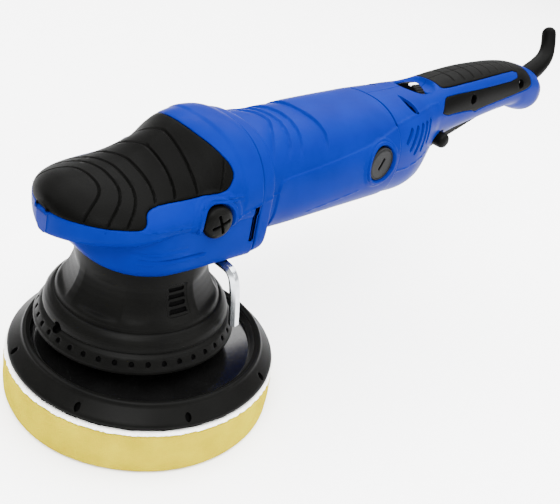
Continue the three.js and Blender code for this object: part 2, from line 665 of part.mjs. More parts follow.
function rearHousing(side) {
  const pocket = cut(sidePlate(HANDLE_GRIP_OUTLINE, -60, 60), rearOuter(RUBBER + GAP));
  const shell = cut(rearOuter(), cut(rearHollow(), dialRecess(2.4)), dialRecess(0), pocket);
  const louvres = [];
  for (let k = 0; k < 5; k++) {
    const louvre = new THREE.BoxGeometry(2.2, 14, 17);
    louvre.rotateY(-0.42).translate(171.5 + 4.6 * k, side * 36, 138 + 1.2 * k);
    louvres.push(solidOf(louvre));
  }
  const tools = [
    dialRod(DIAL_RADIUS + 1.4, -4.6, 4.6),
    block(216, TRIGGER_PIVOT_X + 5, -TRIGGER_HALF - 0.6, TRIGGER_HALF + 0.6, 100, 144),
    turnedY(rod(1.8, -60, 60), 12, TRIGGER_PIVOT_X, TRIGGER_PIVOT_Z),
    taperedBar(GUARD_PATH, GUARD_RADII.map((radius) => radius + GAP)),
    ...HANDLE_SCREWS.map(([x, z]) => turnedY(rod(1.8, -60, 60), 12, x, z)),
    ...HANDLE_SCREWS.map(([x, z]) => turnedY(rod(3.6, -60, -14), 14, x, z)),
    ...louvres,
  ];
  if (side < 0) tools.push(turnedY(rod(5.6, -60, -10), 16, LOCK_X, LOCK_Z));
  return cut(shell.intersect(halfSpace(side)), ...tools);
}

const handleScrew = ([x, z]) =>
  turnedY([[0, -16.6], [3.2, -16.6], [3.2, -14.3], [1.5, -14.3], [1.5, 13.5], [0, 13.5]], 12, x, z);

// ---- Controls ----
function trigger() {
  const paddle = sidePlate([
    [222, 114], [225, 112.5], [249, 121.5], [270, 128.3], [290, 135.2], [292.8, 139], [289, 142],
    [250, 129.8], [231, 126], [224, 121],
  ], -TRIGGER_HALF, TRIGGER_HALF);
  return cut(paddle, turnedY(rod(1.9, -20, 20), 12, TRIGGER_PIVOT_X, TRIGGER_PIVOT_Z));
}

const triggerPin = () => turnedY(rod(1.5, -10.5, 10.5), 12, TRIGGER_PIVOT_X, TRIGGER_PIVOT_Z);

function switchBody() {
  const box = block(233, 268, -9, 9, 142, 153.2);
  return cut(box, turnedZ(rod(3.4, 140, 152), 14, PLUNGER_X, 0));
}

const switchPlunger = () => turnedZ(rod(3, 131.4, 146), 12, PLUNGER_X, 0);

const lockButton = () => turnedY([
  [0, -28.2], [3.4, -27.6], [4.9, -26], [5.2, -24.6], [5.2, -14.5], [0, -14.5],
], 18, LOCK_X, LOCK_Z);

const dialRod = (radius, from, to) =>
  turnedX(rod(radius, DIAL_X + from, DIAL_X + to), 12).translate([0, 0, DIAL_Z - MOTOR_Z]);

function speedDial() {
  const shape = new THREE.Shape();
  const notches = 20;
  for (let k = 0; k < 2 * notches; k++) {
    const radius = DIAL_RADIUS - (k % 2 ? 0.7 : 0);
    const angle = Math.PI * (k + 0.5) / notches;
    const point = [radius * Math.cos(angle), radius * Math.sin(angle)];
    if (k === 0) shape.moveTo(...point);
    else shape.lineTo(...point);
  }
  const wheel = new THREE.ExtrudeGeometry(shape, { depth: 8, bevelEnabled: false });
  const solid = solidOf(wheel.translate(0, 0, -4).rotateY(Math.PI / 2).translate(DIAL_X, 0, DIAL_Z));
  return cut(solid, dialRod(1.8, -10, 10));
}

// The dial turns on a potentiometer that stands on the control board.
function controlBoard() {
  const board = block(176, 213.5, -13, 13, 131, 132.6);
  const post = block(DIAL_X + 5, DIAL_X + 9, -5, 5, 132, DIAL_Z + 3);
  return joined(board, post, dialRod(1.5, -3.5, 6));
}

// ---- Assembly ----
addPart('head_shell', headShell(), BLUE);
addPart('head_grip', headGrip(), RUBBER_BLACK);
addPart('head_cap_left', headCap(-1), PLASTIC_BLACK);
addPart('head_cap_right', headCap(1), PLASTIC_BLACK);
addPart('gear_case', gearCase(), CAST_ALUMINIUM);
addPart('bearing_plate', bearingPlate(), CAST_ALUMINIUM);
addPart('shroud', shroud(), PLASTIC_BLACK);
shroudScrewPlaces.forEach((place, k) => addPart(`shroud_screw_${k + 1}`, shroudScrew(place), STEEL));
addPart('hex_key', sweptBar(HEX_KEY_PATH, KEY_RADIUS, 6, 12), CHROME);

addPart('drive_spindle', turnedZ(rod(SPINDLE_RADIUS, 64.4, 132.4), 20), STEEL);
addPart('upper_spindle_bearing', turnedZ(ring(SPINDLE_RADIUS + GAP, 11, 125.4, 132.3), 20), STEEL);
addPart('lower_spindle_bearing', turnedZ(ring(SPINDLE_RADIUS + GAP, 17.5, 92.3, 103.3), 24), STEEL);
addPart('bevel_gear', bevelGear(), STEEL);
addPart('pinion', pinion(), STEEL);
addPart('counterweight', counterweight(), CAST_IRON);
addPart('pad_bearing', padTurned(ring(7.3, 14, 46.3, 59.9), 24), STEEL);
addPart('pad_spindle', padSpindle(), STEEL);
addPart('pad_bolt', padBolt(), STEEL);
addPart('backing_plate', backingPlate(), PLASTIC_BLACK);
addPart('hook_disc', hookDisc(), PLASTIC_BLACK);
addPart('loop_layer', loopLayer(), LOOP_WHITE);
addPart('foam_pad', foamPad(), FOAM_YELLOW);

addPart('motor_housing', motorHousing(), BLUE);
addPart('armature_shaft', turnedX(rod(SHAFT_RADIUS, 31.6, 167), 16), STEEL);
addPart('front_motor_bearing', turnedX(ring(SHAFT_RADIUS + GAP, 14, 45, 55), 20), STEEL);
addPart('rear_motor_bearing', turnedX(ring(SHAFT_RADIUS + GAP, 11, 160.8, 166.8), 20), STEEL);
addPart('cooling_fan', coolingFan(), PLASTIC_BLACK);
addPart('stator', stator(), STEEL);
addPart('armature_core', armatureCore(), STEEL);
addPart('armature_winding', turnedX(ring(SHAFT_RADIUS + GAP, 15.5, 120.4, 130), 20), COPPER);
addPart('commutator', turnedX(ring(SHAFT_RADIUS + GAP, 12, 132, 150), 20), COPPER);
addPart('end_bracket', endBracket(), CAST_ALUMINIUM);
for (const [suffix, side] of [['left', -1], ['right', 1]]) {
  addPart(`field_coil_${suffix}`, fieldCoil(side), COPPER);
  addPart(`brush_holder_${suffix}`, brushHolder(side), BRASS);
  addPart(`carbon_brush_${suffix}`, carbonBrush(side), CARBON);
  addPart(`brush_cap_${suffix}`, brushCap(side), GREY_PLASTIC);
  addPart(`rear_housing_${suffix}`, rearHousing(side), BLUE);
  addPart(`handle_grip_${suffix}`, handleGrip(side), RUBBER_BLACK);
}
HANDLE_SCREWS.forEach((place, k) => addPart(`handle_screw_${k + 1}`, handleScrew(place), STEEL));

addPart('trigger', trigger(), PLASTIC_BLACK);
addPart('trigger_pin', triggerPin(), STEEL);
addPart('switch_body', switchBody(), PLASTIC_BLACK);
addPart('switch_plunger', switchPlunger(), PLASTIC_BLACK);
addPart('lock_button', lockButton(), PLASTIC_BLACK);
addPart('speed_dial', speedDial(), PLASTIC_BLACK);
addPart('control_board', controlBoard(), BOARD_GREEN);

addPart('cord_guard', taperedBar(GUARD_PATH, GUARD_RADII), RUBBER_BLACK);

export default object;
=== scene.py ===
"""Dual action polisher: detailed shells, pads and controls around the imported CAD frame.

Shapes are built in millimetres, in the frame's own axes, and written out in metres. A shell starts
as a smooth base surface. Lines are then cut into its mesh, and each feature moves the surface along
its normals: a groove, a raised ring, a pocket or a rounded edge.
"""

import json
import math

import bpy
import bmesh
import numpy as np
from mathutils import Matrix, Vector


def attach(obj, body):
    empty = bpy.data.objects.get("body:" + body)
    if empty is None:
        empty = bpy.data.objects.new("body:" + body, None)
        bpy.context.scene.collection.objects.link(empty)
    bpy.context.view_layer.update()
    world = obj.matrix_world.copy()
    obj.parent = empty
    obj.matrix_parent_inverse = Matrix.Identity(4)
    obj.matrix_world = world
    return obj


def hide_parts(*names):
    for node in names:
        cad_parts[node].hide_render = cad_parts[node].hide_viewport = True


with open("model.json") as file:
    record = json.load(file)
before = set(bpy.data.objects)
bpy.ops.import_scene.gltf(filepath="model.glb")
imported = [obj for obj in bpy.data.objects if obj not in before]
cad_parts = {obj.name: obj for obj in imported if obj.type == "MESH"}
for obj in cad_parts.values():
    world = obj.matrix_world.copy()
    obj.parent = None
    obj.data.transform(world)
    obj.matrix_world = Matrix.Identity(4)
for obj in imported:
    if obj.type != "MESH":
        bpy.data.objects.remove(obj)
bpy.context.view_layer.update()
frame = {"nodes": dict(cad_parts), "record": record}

MM = 0.001
# The signs of y on the side that the photograph shows, and on the far side.
NEAR, FAR = -1, 1

PAD_X, PAD_Y = 2.81, -6.95
HEAD_HALF = 40.9
NOSE_CENTRE_X = -19
BOWL_HALF = 39.9
BOWL_CENTRE_X = -8
LIP_HEIGHT = 122
LIP_BOTTOM = 109.4
HEAD_SEAM_X = 42
BARREL_START_X = 42.4
BARREL_END_X = 157
REAR_START_X = 157.4
HANDLE_END_X = 362.6
CAP_X, CAP_Z = 13, 119
BRUSH_X, BRUSH_Z = 140, 130.3
DIAL_X, DIAL_Z, DIAL_RADIUS = 204, 150.5, 13
KNURLS = 40
LOCK_X, LOCK_Z, LOCK_HOLE_RADIUS = 220, 130.5, 6.7
KEY_X, KEY_Z, KEY_NOTCH_HALF = 27, 88.2, 3.3
NECK_RADIUS = 36.6
HEAD_WALL = 1.6
GRIP_WALL = 0.9
BARREL_WALL = 2.4
REAR_WALL = 2.2


# ---- Camera ----
def make_camera():
    data = bpy.data.cameras.new("camera")
    data.sensor_width = 36
    data.lens = 49.53  # millimetres
    camera = bpy.data.objects.new("camera", data)
    right = Vector((0.7231, -0.6664, 0.1821))
    up = Vector((0.2098, 0.4631, 0.8611))
    back = Vector((-0.65815, -0.58444, 0.47463))
    turn = Matrix((right, up, back)).transposed().to_4x4()
    camera.matrix_world = Matrix.Translation((-0.21919, -0.29158, 0.29327)) @ turn
    bpy.context.collection.objects.link(camera)
    bpy.context.scene.camera = camera


make_camera()


# ---- Materials ----
def node_material(name):
    material = bpy.data.materials.new(name)
    material.use_nodes = True
    nodes = material.node_tree.nodes
    return material, material.node_tree, nodes["Principled BSDF"]


def noise(tree, size_mm, detail=2.0, stretch=(1, 1, 1)):
    """A noise texture whose features are about size_mm across, fixed to the object."""
    place = tree.nodes.new("ShaderNodeTexCoord")
    mapping = tree.nodes.new("ShaderNodeMapping")
    mapping.inputs["Scale"].default_value = stretch
    texture = tree.nodes.new("ShaderNodeTexNoise")
    texture.inputs["Scale"].default_value = 1 / (size_mm * MM)
    texture.inputs["Detail"].default_value = detail
    tree.links.new(place.outputs["Object"], mapping.inputs["Vector"])
    tree.links.new(mapping.outputs["Vector"], texture.inputs["Vector"])
    return texture.outputs["Fac"]


def cells(tree, size_mm):
    place = tree.nodes.new("ShaderNodeTexCoord")
    texture = tree.nodes.new("ShaderNodeTexVoronoi")
    texture.inputs["Scale"].default_value = 1 / (size_mm * MM)
    tree.links.new(place.outputs["Object"], texture.inputs["Vector"])
    return texture.outputs["Distance"]


def spread(tree, value, low, high):
    """Maps a texture's usual range to low..high."""
    node = tree.nodes.new("ShaderNodeMapRange")
    node.inputs["From Min"].default_value = 0.3
    node.inputs["From Max"].default_value = 0.7
    node.inputs["To Min"].default_value = low
    node.inputs["To Max"].default_value = high
    tree.links.new(value, node.inputs["Value"])
    return node.outputs["Result"]


def tint(tree, value, dark, light):
    node = tree.nodes.new("ShaderNodeMix")
    node.data_type = "RGBA"
    node.inputs["A"].default_value = (*dark, 1)
    node.inputs["B"].default_value = (*light, 1)
    tree.links.new(value, node.inputs["Factor"])
    return node.outputs["Result"]


def bump(tree, height, distance_mm, strength=0.5, below=None):
    node = tree.nodes.new("ShaderNodeBump")
    node.inputs["Distance"].default_value = distance_mm * MM
    node.inputs["Strength"].default_value = strength
    tree.links.new(height, node.inputs["Height"])
    if below is not None:
        tree.links.new(below, node.inputs["Normal"])
    return node.outputs["Normal"]


def surface(name, dark, light, rough, grain_mm, patch_mm, depth_mm, metal=0.0, specular=0.5):
    """A moulded or machined finish: a colour that varies slowly over patches of patch_mm, and a
    grain of grain_mm that varies the roughness and raises the surface by depth_mm."""
    material, tree, shader = node_material(name)
    patches = noise(tree, patch_mm, 3)
    grain = noise(tree, grain_mm, 3)
    colour = tint(tree, spread(tree, patches, 0, 1), dark, light)
    tree.links.new(colour, shader.inputs["Base Color"])
    tree.links.new(spread(tree, grain, *rough), shader.inputs["Roughness"])
    tree.links.new(bump(tree, grain, depth_mm), shader.inputs["Normal"])
    shader.inputs["Metallic"].default_value = metal
    shader.inputs["Specular IOR Level"].default_value = specular
    return material


def foam_surface(name):
    """Open-cell foam: fine cells, larger pores, and a colour that drifts a little."""
    material, tree, shader = node_material(name)
    fine = cells(tree, 0.9)
    drift = noise(tree, 14, 3)
    dark, light = (0.25, 0.195, 0.0003), (0.31, 0.25, 0.001)
    tree.links.new(tint(tree, spread(tree, drift, 0, 1), dark, light), shader.inputs["Base Color"])
    pores = bump(tree, fine, 0.35, 0.5)
    tree.links.new(bump(tree, noise(tree, 2.6, 4), 0.3, 0.35, pores), shader.inputs["Normal"])
    shader.inputs["Roughness"].default_value = 0.95
    shader.inputs["Specular IOR Level"].default_value = 0.0
    shader.inputs["Subsurface Weight"].default_value = 0.15
    shader.inputs["Subsurface Scale"].default_value = 0.004
    return material


def felt_surface(name):
    """Hook-and-loop cloth: pale upright fibres with a soft sheen."""
    material, tree, shader = node_material(name)
    fibres = noise(tree, 0.5, 5, (1, 1, 0.35))
    dark, light = (0.66, 0.65, 0.6), (0.95, 0.95, 0.92)
    tree.links.new(tint(tree, spread(tree, fibres, 0, 1), dark, light), shader.inputs["Base Color"])
    tree.links.new(bump(tree, fibres, 0.5, 0.8), shader.inputs["Normal"])
    shader.inputs["Roughness"].default_value = 0.95
    shader.inputs["Sheen Weight"].default_value = 0.4
    return material


def plastic(name, dark, light, rough, grain_mm, patch_mm, depth_mm, specular):
    return surface(name, dark, light, rough, grain_mm, patch_mm, depth_mm, specular=specular)


def metal(name, dark, light, rough, grain_mm, patch_mm, depth_mm):
    return surface(name, dark, light, rough, grain_mm, patch_mm, depth_mm, 1.0)


BLUE = plastic(
    "blue_nylon", (0.0001, 0.0045, 0.082), (0.0002, 0.006, 0.098), (0.36, 0.44), 0.5, 22, 0.02, 0.012,
)
RUBBER = plastic(
    "grip_rubber", (0.0006, 0.0006, 0.0005), (0.001, 0.001, 0.0009), (0.42, 0.56), 0.35, 16, 0.03, 0.015,
)
SATIN = plastic(
    "black_nylon", (0.0013, 0.0013, 0.0012), (0.002, 0.002, 0.0018), (0.36, 0.48), 0.45, 20, 0.02, 0.02,
)
GLOSS = plastic(
    "black_gloss", (0.001, 0.001, 0.001), (0.002, 0.002, 0.002), (0.12, 0.2), 1.5, 20, 0.004, 0.2,
)
# Painted shade: near-black paint on the floors and walls of slots, holes, vents and pits, standing in for
# the shade inside them.
RECESS_SHADE = plastic(
    "painted_recess_shade", (0.0001, 0.0001, 0.0001), (0.0002, 0.0002, 0.0002), (0.7, 0.8), 0.6, 10, 0.01, 0.02,
)
GREY = plastic(
    "dark_grey_nylon", (0.0022, 0.0023, 0.0026), (0.0035, 0.0036, 0.004), (0.42, 0.55), 0.4, 8, 0.03, 0.06,
)
WHITE = surface("white_mark", (0.7, 0.7, 0.7), (0.82, 0.82, 0.82), (0.4, 0.5), 0.4, 4, 0.01)
CHROME = metal("bright_plate", (0.34, 0.36, 0.38), (0.48, 0.5, 0.53), (0.16, 0.26), 0.8, 5, 0.006)
FOAM = foam_surface("polishing_foam")
FELT = felt_surface("hook_and_loop")

# The look of each material slot that the record names.
INNER_LOOKS = {
    "steel": metal(
        "machined_steel", (0.3, 0.3, 0.31), (0.45, 0.46, 0.47), (0.25, 0.4), 0.3, 6, 0.01,
    ),
    "cast_aluminium": metal(
        "cast_metal", (0.36, 0.37, 0.38), (0.5, 0.51, 0.52), (0.45, 0.6), 0.6, 8, 0.06,
    ),
    "cast_iron": metal(
        "cast_iron", (0.09, 0.09, 0.09), (0.15, 0.15, 0.15), (0.55, 0.7), 0.7, 8, 0.08,
    ),
    "copper": metal(
        "copper_wire", (0.42, 0.15, 0.05), (0.62, 0.27, 0.1), (0.3, 0.45), 0.5, 4, 0.06,
    ),
    "brass": metal(
        "folded_brass", (0.5, 0.34, 0.12), (0.66, 0.48, 0.2), (0.28, 0.4), 0.5, 5, 0.02,
    ),
    "carbon": surface(
        "pressed_carbon", (0.02, 0.02, 0.02), (0.04, 0.04, 0.04), (0.6, 0.8), 0.3, 3, 0.03,
    ),
    "board": surface(
        "circuit_board", (0.012, 0.11, 0.045), (0.025, 0.17, 0.075), (0.3, 0.45), 1.2, 5, 0.02,
    ),
    "chrome": CHROME,
    "housing_blue": BLUE,
    "grip_rubber": RUBBER,
    "black_plastic": SATIN,
    "grey_plastic": GREY,
    "foam": FOAM,
    "loop_fabric": FELT,
}


def dress_frame():
    """Gives every CAD node the look of its material slot."""
    slots = {row["node"]: row["material_slot"] for row in frame["record"]["subparts"]}
    for name, node in frame["nodes"].items():
        node.data.materials.clear()
        node.data.materials.append(INNER_LOOKS[slots[name]])


# ---- Numbers along a line ----
def interpolate(table, at):
    """A monotone cubic through the rows [x, value, value, ...] of a table."""
    table = np.array(table, float)
    knots, values = table[:, 0], table[:, 1:]
    gaps = np.diff(knots)[:, None]
    slopes = np.diff(values, axis=0) / gaps
    product = slopes[1:] * slopes[:-1]
    total = np.where(product > 0, slopes[1:] + slopes[:-1], 1)
    inner = np.where(product > 0, 2 * product / total, 0)
    tangents = np.vstack([slopes[:1], inner, slopes[-1:]])
    at = np.clip(np.asarray(at, float), knots[0], knots[-1])
    i = np.clip(np.searchsorted(knots, at) - 1, 0, len(knots) - 2)
    gap = gaps[i]
    t = ((at - knots[i]) / gap[:, 0])[:, None]
    start = (1 + 2 * t) * (1 - t) ** 2 * values[i] + t * (1 - t) ** 2 * gap * tangents[i]
    end = t * t * (3 - 2 * t) * values[i + 1] + t * t * (t - 1) * gap * tangents[i + 1]
    return start + end


def ramp(value, start, end):
    """0 up to start, 1 beyond end, and a smooth rise between them. end may be below start."""
    t = np.clip((value - start) / (end - start), 0, 1)
    return t * t * (3 - 2 * t)


def rounded(corners, closed=True, times=2):
    """Cuts the corners of an outline, so that it curves."""
    points = np.array(corners, float)
    for _ in range(times):
        following = np.roll(points, -1, axis=0) if closed else points[1:]
        before = points if closed else points[:-1]
        cut = np.stack([0.78 * before + 0.22 * following, 0.22 * before + 0.78 * following], axis=1)
        cut = cut.reshape(-1, 2)
        points = cut if closed else np.vstack([points[:1], cut[1:-1], points[-1:]])
    return points


# ---- Distances, as functions of points on a surface ----
def to_segments(flat, starts, ends):
    best = np.full(len(flat), 1e9)
    for a, b in zip(starts, ends):
        edge = b - a
        t = np.clip((flat - a) @ edge / (edge @ edge), 0, 1)
        best = np.minimum(best, np.linalg.norm(flat - a - t[:, None] * edge, axis=1))
    return best


def from_outline(outline, axes=(0, 2)):
    """Signed distance from a closed outline, seen from the side. It is negative inside."""
    loop = np.array(outline, float)
    after = np.roll(loop, -1, axis=0)

    def distance(points):
        flat = points[:, axes]
        inside = np.zeros(len(flat), bool)
        for a, b in zip(loop, after):
            spans = (a[1] > flat[:, 1]) != (b[1] > flat[:, 1])
            rise = b[1] - a[1] if b[1] != a[1] else 1e-9
            inside ^= spans & (flat[:, 0] < a[0] + (b[0] - a[0]) * (flat[:, 1] - a[1]) / rise)
        best = to_segments(flat, loop, after)
        return np.where(inside, -best, best)

    return distance


def from_line(line, axes=(0, 2)):
    """Distance from an open line, seen from the side."""
    line = np.array(line, float)
    return lambda points: to_segments(points[:, axes], line[:-1], line[1:])


def from_circle(x, z):
    return lambda points: np.hypot(points[:, 0] - x, points[:, 2] - z)


# ---- Features: (distance, levels to cut the mesh at, height to move the surface by) ----
def groove(distance, width, depth, where=None):
    def height(points, value):
        dip = -depth * (1 - ramp(np.abs(value), 0, width))
        return dip if where is None else dip * where(points)

    return distance, (-width, 0, width), height


def ridge(distance, width, rise, where=None):
    def height(points, value):
        bulge = rise * (1 - ramp(value, 0.15 * width, width))
        return bulge if where is None else bulge * where(points)

    return distance, (0.15 * width, 0.5 * width, width), height


def pocket(distance, depth, lip=0.5, where=None):
    """The surface inside the outline sinks by depth, past a short wall."""
    def height(points, value):
        dip = -depth * ramp(value, 0, -lip)
        return dip if where is None else dip * where(points)

    return distance, (0, -0.5 * lip, -lip), height


def fillet(distance, radius):
    """Rounds the surface down where it meets the line, on both sides of it."""
    def height(points, value):
        reach = np.clip(radius - np.abs(value), 0, radius)
        return np.sqrt(radius * radius - reach * reach) - radius

    return distance, (-radius, -0.4 * radius, 0, 0.4 * radius, radius), height


# ---- Base surfaces: (points, faces) ----
def section(half, bottom, mid, top, upper, lower, around):
    """Evenly spaced points round a rounded box, from its bottom middle."""
    angle = np.linspace(-np.pi / 2, 1.5 * np.pi, 721)
    c, s = np.cos(angle), np.sin(angle)
    power = np.where(s > 0, 2 / upper, 2 / lower)
    reach = np.where(s > 0, top - mid, mid - bottom)
    y = np.sign(c) * half * np.abs(c) ** power
    z = mid + np.sign(s) * reach * np.abs(s) ** power
    along = np.concatenate([[0], np.cumsum(np.hypot(np.diff(y), np.diff(z)))])
    at = np.linspace(0, along[-1], around, endpoint=False)
    return np.interp(at, along, y), np.interp(at, along, z)


def facing_out(points, faces):
    """Turns all the faces over when they face into the body."""
    spread_out = points - points.mean(axis=0)
    corners = spread_out[np.array([face[:3] for face in faces])]
    volume = np.einsum("ij,ij->", corners[:, 0], np.cross(corners[:, 1], corners[:, 2]))
    return points, faces if volume > 0 else [face[::-1] for face in faces]


def joined_rings(rings, close_start=False, close_end=False):
    count = len(rings[0])
    faces = []
    for r in range(len(rings) - 1):
        for k in range(count):
            a, b = r * count + k, r * count + (k + 1) % count
            faces.append([a, a + count, b + count, b])
    if close_start:
        faces.append(list(range(count)))
    if close_end:
        last = (len(rings) - 1) * count
        faces.append([last + k for k in reversed(range(count))])
    return facing_out(np.concatenate(rings), faces)


def loft(xs, rows, around, close_start=False, close_end=False):
    """A body along X. Each row is half-width, bottom, widest height, top, upper and lower power."""
    rings = []
    for x, row in zip(xs, rows):
        y, z = section(*row, around)
        rings.append(np.column_stack([np.full(around, x), y, z]))
    return joined_rings(rings, close_start, close_end)


def smooth_profile(profile, step):
    """Adds points along each straight stretch of a profile, so that no face is long."""
    points = [np.array(profile[0], float)]
    for a, b in zip(profile, profile[1:]):
        a, b = np.array(a, float), np.array(b, float)
        count = max(1, int(np.ceil(np.linalg.norm(b - a) / step)))
        points += [a + (b - a) * k / count for k in range(1, count + 1)]
    return np.array(points)


def turned(profile, around, x=0.0, y=0.0):
    """A profile of [radius, height] points turned about a vertical axis through (x, y)."""
    angle = 2 * np.pi * np.arange(around) / around
    rings = []
    for radius, height in profile:
        ring = [x + radius * np.cos(angle), y + radius * np.sin(angle), np.full(around, height)]
        rings.append(np.column_stack(ring))
    return joined_rings(rings)


def plate(outline, low, high):
    """A side-view outline of [x, z] points, filling y from low to high."""
    outline = np.array(outline, float)
    count = len(outline)
    rings = [np.column_stack([outline[:, 0], np.full(count, y), outline[:, 1]]) for y in (low, high)]
    return joined_rings(rings, True, True)


def tube(centres, radii, sides, flats=0.0):
    """A bar round a line of centres, closed at both ends. flats above 0 makes it six-sided."""
    centres = np.array(centres, float)
    tangents = np.gradient(centres, axis=0)
    tangents /= np.linalg.norm(tangents, axis=1)[:, None]
    side = np.cross(tangents[0], (1, 0, 0) if abs(tangents[0][0]) < 0.8 else (0, 1, 0))
    angle = 2 * np.pi * np.arange(sides) / sides
    off_flat = (angle + np.pi / 6) % (np.pi / 3) - np.pi / 6
    shape = 1 - flats * (1 - np.cos(np.pi / 6) / np.cos(off_flat))
    rings = []
    for centre, tangent, radius in zip(centres, tangents, radii):
        side = side - tangent * (side @ tangent)
        side /= np.linalg.norm(side)
        other = np.cross(tangent, side)
        spokes = np.cos(angle)[:, None] * side + np.sin(angle)[:, None] * other
        rings.append(centre + radius * shape[:, None] * spokes)
    return joined_rings(rings, True, True)


def through(points, count):
    """A smooth line through the given points."""
    rows = [[k, *point] for k, point in enumerate(points)]
    return interpolate(rows, np.linspace(0, len(points) - 1, count))


# ---- Cutting lines into a mesh, and moving its surface ----
SNAP = 0.06


def split(points, faces, value, level):
    """Cuts every face along the line where value is level. A point close to the line stays whole."""
    v = value(points) - level
    v[np.abs(v) < SNAP] = 0
    sign = np.sign(v).astype(int)
    extra, made, result = [], {}, []
    for face in faces:
        around = [sign[i] for i in face]
        if max(around) <= 0 or min(around) >= 0:
            result.append(face)
            continue
        above, below = [], []
        for a, b in zip(face, face[1:] + face[:1]):
            if sign[a] >= 0:
                above.append(a)
            if sign[a] <= 0:
                below.append(a)
            if sign[a] * sign[b] < 0:
                key = (min(a, b), max(a, b))
                if key not in made:
                    t = v[key[0]] / (v[key[0]] - v[key[1]])
                    extra.append(points[key[0]] + t * (points[key[1]] - points[key[0]]))
                    made[key] = len(points) + len(extra) - 1
                above.append(made[key])
                below.append(made[key])
        result += [half for half in (above, below) if len(half) > 2]
    if extra:
        points = np.vstack([points, extra])
    return points, result


def centroids(points, faces):
    return np.array([points[face].mean(axis=0) for face in faces])


def normals(points, faces):
    """Outward normals at the points, weighted by area."""
    total = np.zeros_like(points)
    for face in faces:
        corners = points[face]
        first, rest = corners[0], corners[1:] - corners[0]
        area = np.cross(rest[:-1], rest[1:]).sum(axis=0)
        total[face] += area
    length = np.linalg.norm(total, axis=1)
    length[length == 0] = 1
    return total / length[:, None]


def shaped(base, features, lines=(), sink=None):
    """Cuts the features' lines into the base and moves its surface. lines holds more (distance,
    level) pairs to cut. sink moves points straight down, by a function of the point."""
    points, faces = base
    for value, levels, _ in features:
        for level in levels:
            points, faces = split(points, faces, value, level)
    for value, level in lines:
        points, faces = split(points, faces, value, level)
    height = np.zeros(len(points))
    for value, _, rise in features:
        height += rise(points, value(points))
    moved = points + normals(points, faces) * height[:, None]
    if sink is not None:
        moved[:, 2] -= sink(points)
    return points, faces, moved


def piece(name, body, nodes, built, skins, keep=None, wall=0.0, angle=38, bevel=0.0):
    """Makes one object out of a shaped surface. keep is a test that picks its faces, and skins is a
    list of (material, test) in which a later entry paints over an earlier one."""
    points, faces, moved = built
    middles = centroids(points, faces)
    chosen = np.ones(len(faces), bool) if keep is None else keep(middles)
    paint = np.zeros(len(faces), int)
    for number, (_, test) in enumerate(skins):
        if test is not None:
            paint[test(middles)] = number
    kept = [face for face, use in zip(faces, chosen) if use]
    used = sorted({i for face in kept for i in face})
    place = {old: new for new, old in enumerate(used)}
    mesh = bpy.data.meshes.new(name)
    mesh.from_pydata((moved[used] * MM).tolist(), [], [[place[i] for i in face] for face in kept])
    for material, _ in skins:
        mesh.materials.append(material)
    mesh.polygons.foreach_set("material_index", paint[chosen].tolist())
    tidy = bmesh.new()
    tidy.from_mesh(mesh)
    bmesh.ops.remove_doubles(tidy, verts=tidy.verts, dist=0.01 * MM)
    bmesh.ops.dissolve_degenerate(tidy, edges=tidy.edges, dist=0.005 * MM)
    tidy.to_mesh(mesh)
    tidy.free()
    mesh.shade_smooth()
    mesh.set_sharp_from_angle(angle=math.radians(angle))
    thing = bpy.data.objects.new(name, mesh)
    bpy.context.collection.objects.link(thing)
    if wall:
        solid = thing.modifiers.new("wall", "SOLIDIFY")
        solid.thickness = wall * MM
        solid.offset = -1
    if bevel:
        edge = thing.modifiers.new("edges", "BEVEL")
        edge.width = bevel * MM
        edge.segments = 3
        edge.limit_method = "ANGLE"
        edge.angle_limit = math.radians(35)
        edge.harden_normals = True
    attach(thing, body)
    if nodes:
        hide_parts(*nodes)
    return thing


def plain(base):
    points, faces = base
    return points, faces, points


def on_side(side):
    return lambda middles: middles[:, 1] * side > 0


# ---- The head ----
# x, height of the top, and how square the upper half is.
HEAD_TOP = [
    [-60, 123.6, 1.6], [-58.6, 127.2, 1.6], [-56, 129.6, 1.6], [-52, 132, 1.6], [-46, 134, 1.6],
    [-38, 135, 1.58], [-28, 136.3, 1.55], [-19, 138.4, 1.52], [-10, 142.2, 1.48], [-2, 147.8, 1.45],
    [5, 152.8, 1.45], [9, 155.8, 1.55], [14, 158.2, 1.8], [20, 159.4, 2.05], [28, 160, 2.25],
    [36, 159.5, 2.35], [42, 158, 2.35],
]
# The underside of the head: x and the height of its bottom.
BOWL = [
    [-47.9, 106], [-47, 104], [-44, 99.4], [-38, 95.2], [-28, 92], [-10, 89.8], [8, 89.2], [22, 89.2],
    [42, 89.4],
]
# The edge of the rubber, seen from the side.
GRIP_OUTLINE = rounded([
    [-80, 121.2], [-59.5, 121.9], [-53, 122.7], [-42, 122.6], [-30.2, 122.5], [-27.5, 124.6],
    [-25.5, 128], [-20, 129.8], [-1, 131.4], [14, 133.4], [19.5, 135], [23.6, 141], [22.4, 146],
    [18, 151.6], [13.2, 156], [9.6, 159.5], [8.5, 166], [8.5, 175], [-80, 175],
], times=1)

# Each groove across the rubber: its x at the middle of the back, how far it drops towards the nose,
# the distance from the middle where it has dropped that far, and the power of the curve.
GRIP_GROOVES = [
    [-36.8, 15, 23, 4], [-28.9, 14.2, 30.8, 4], [-23, 12.8, 35.5, 4], [-15.2, 10, 38, 5],
    [-5, 8, 38, 5], [4.6, 1.6, 37, 5],
]


def half_width(xs, radius, centre):
    """Half the head's width at each station: round ahead of centre, and straight behind it."""
    ahead = np.clip(centre - xs, 0, radius - 0.3)
    return np.sqrt(radius**2 - ahead**2)


def nose_first(end, centre, radius, count):
    """Stations round the nose, closer together where it turns."""
    turn = np.linspace(0.012, np.pi / 2, count)
    return np.concatenate([centre - radius * np.cos(turn), np.arange(centre + 1.3, end, 1.3), [end]])


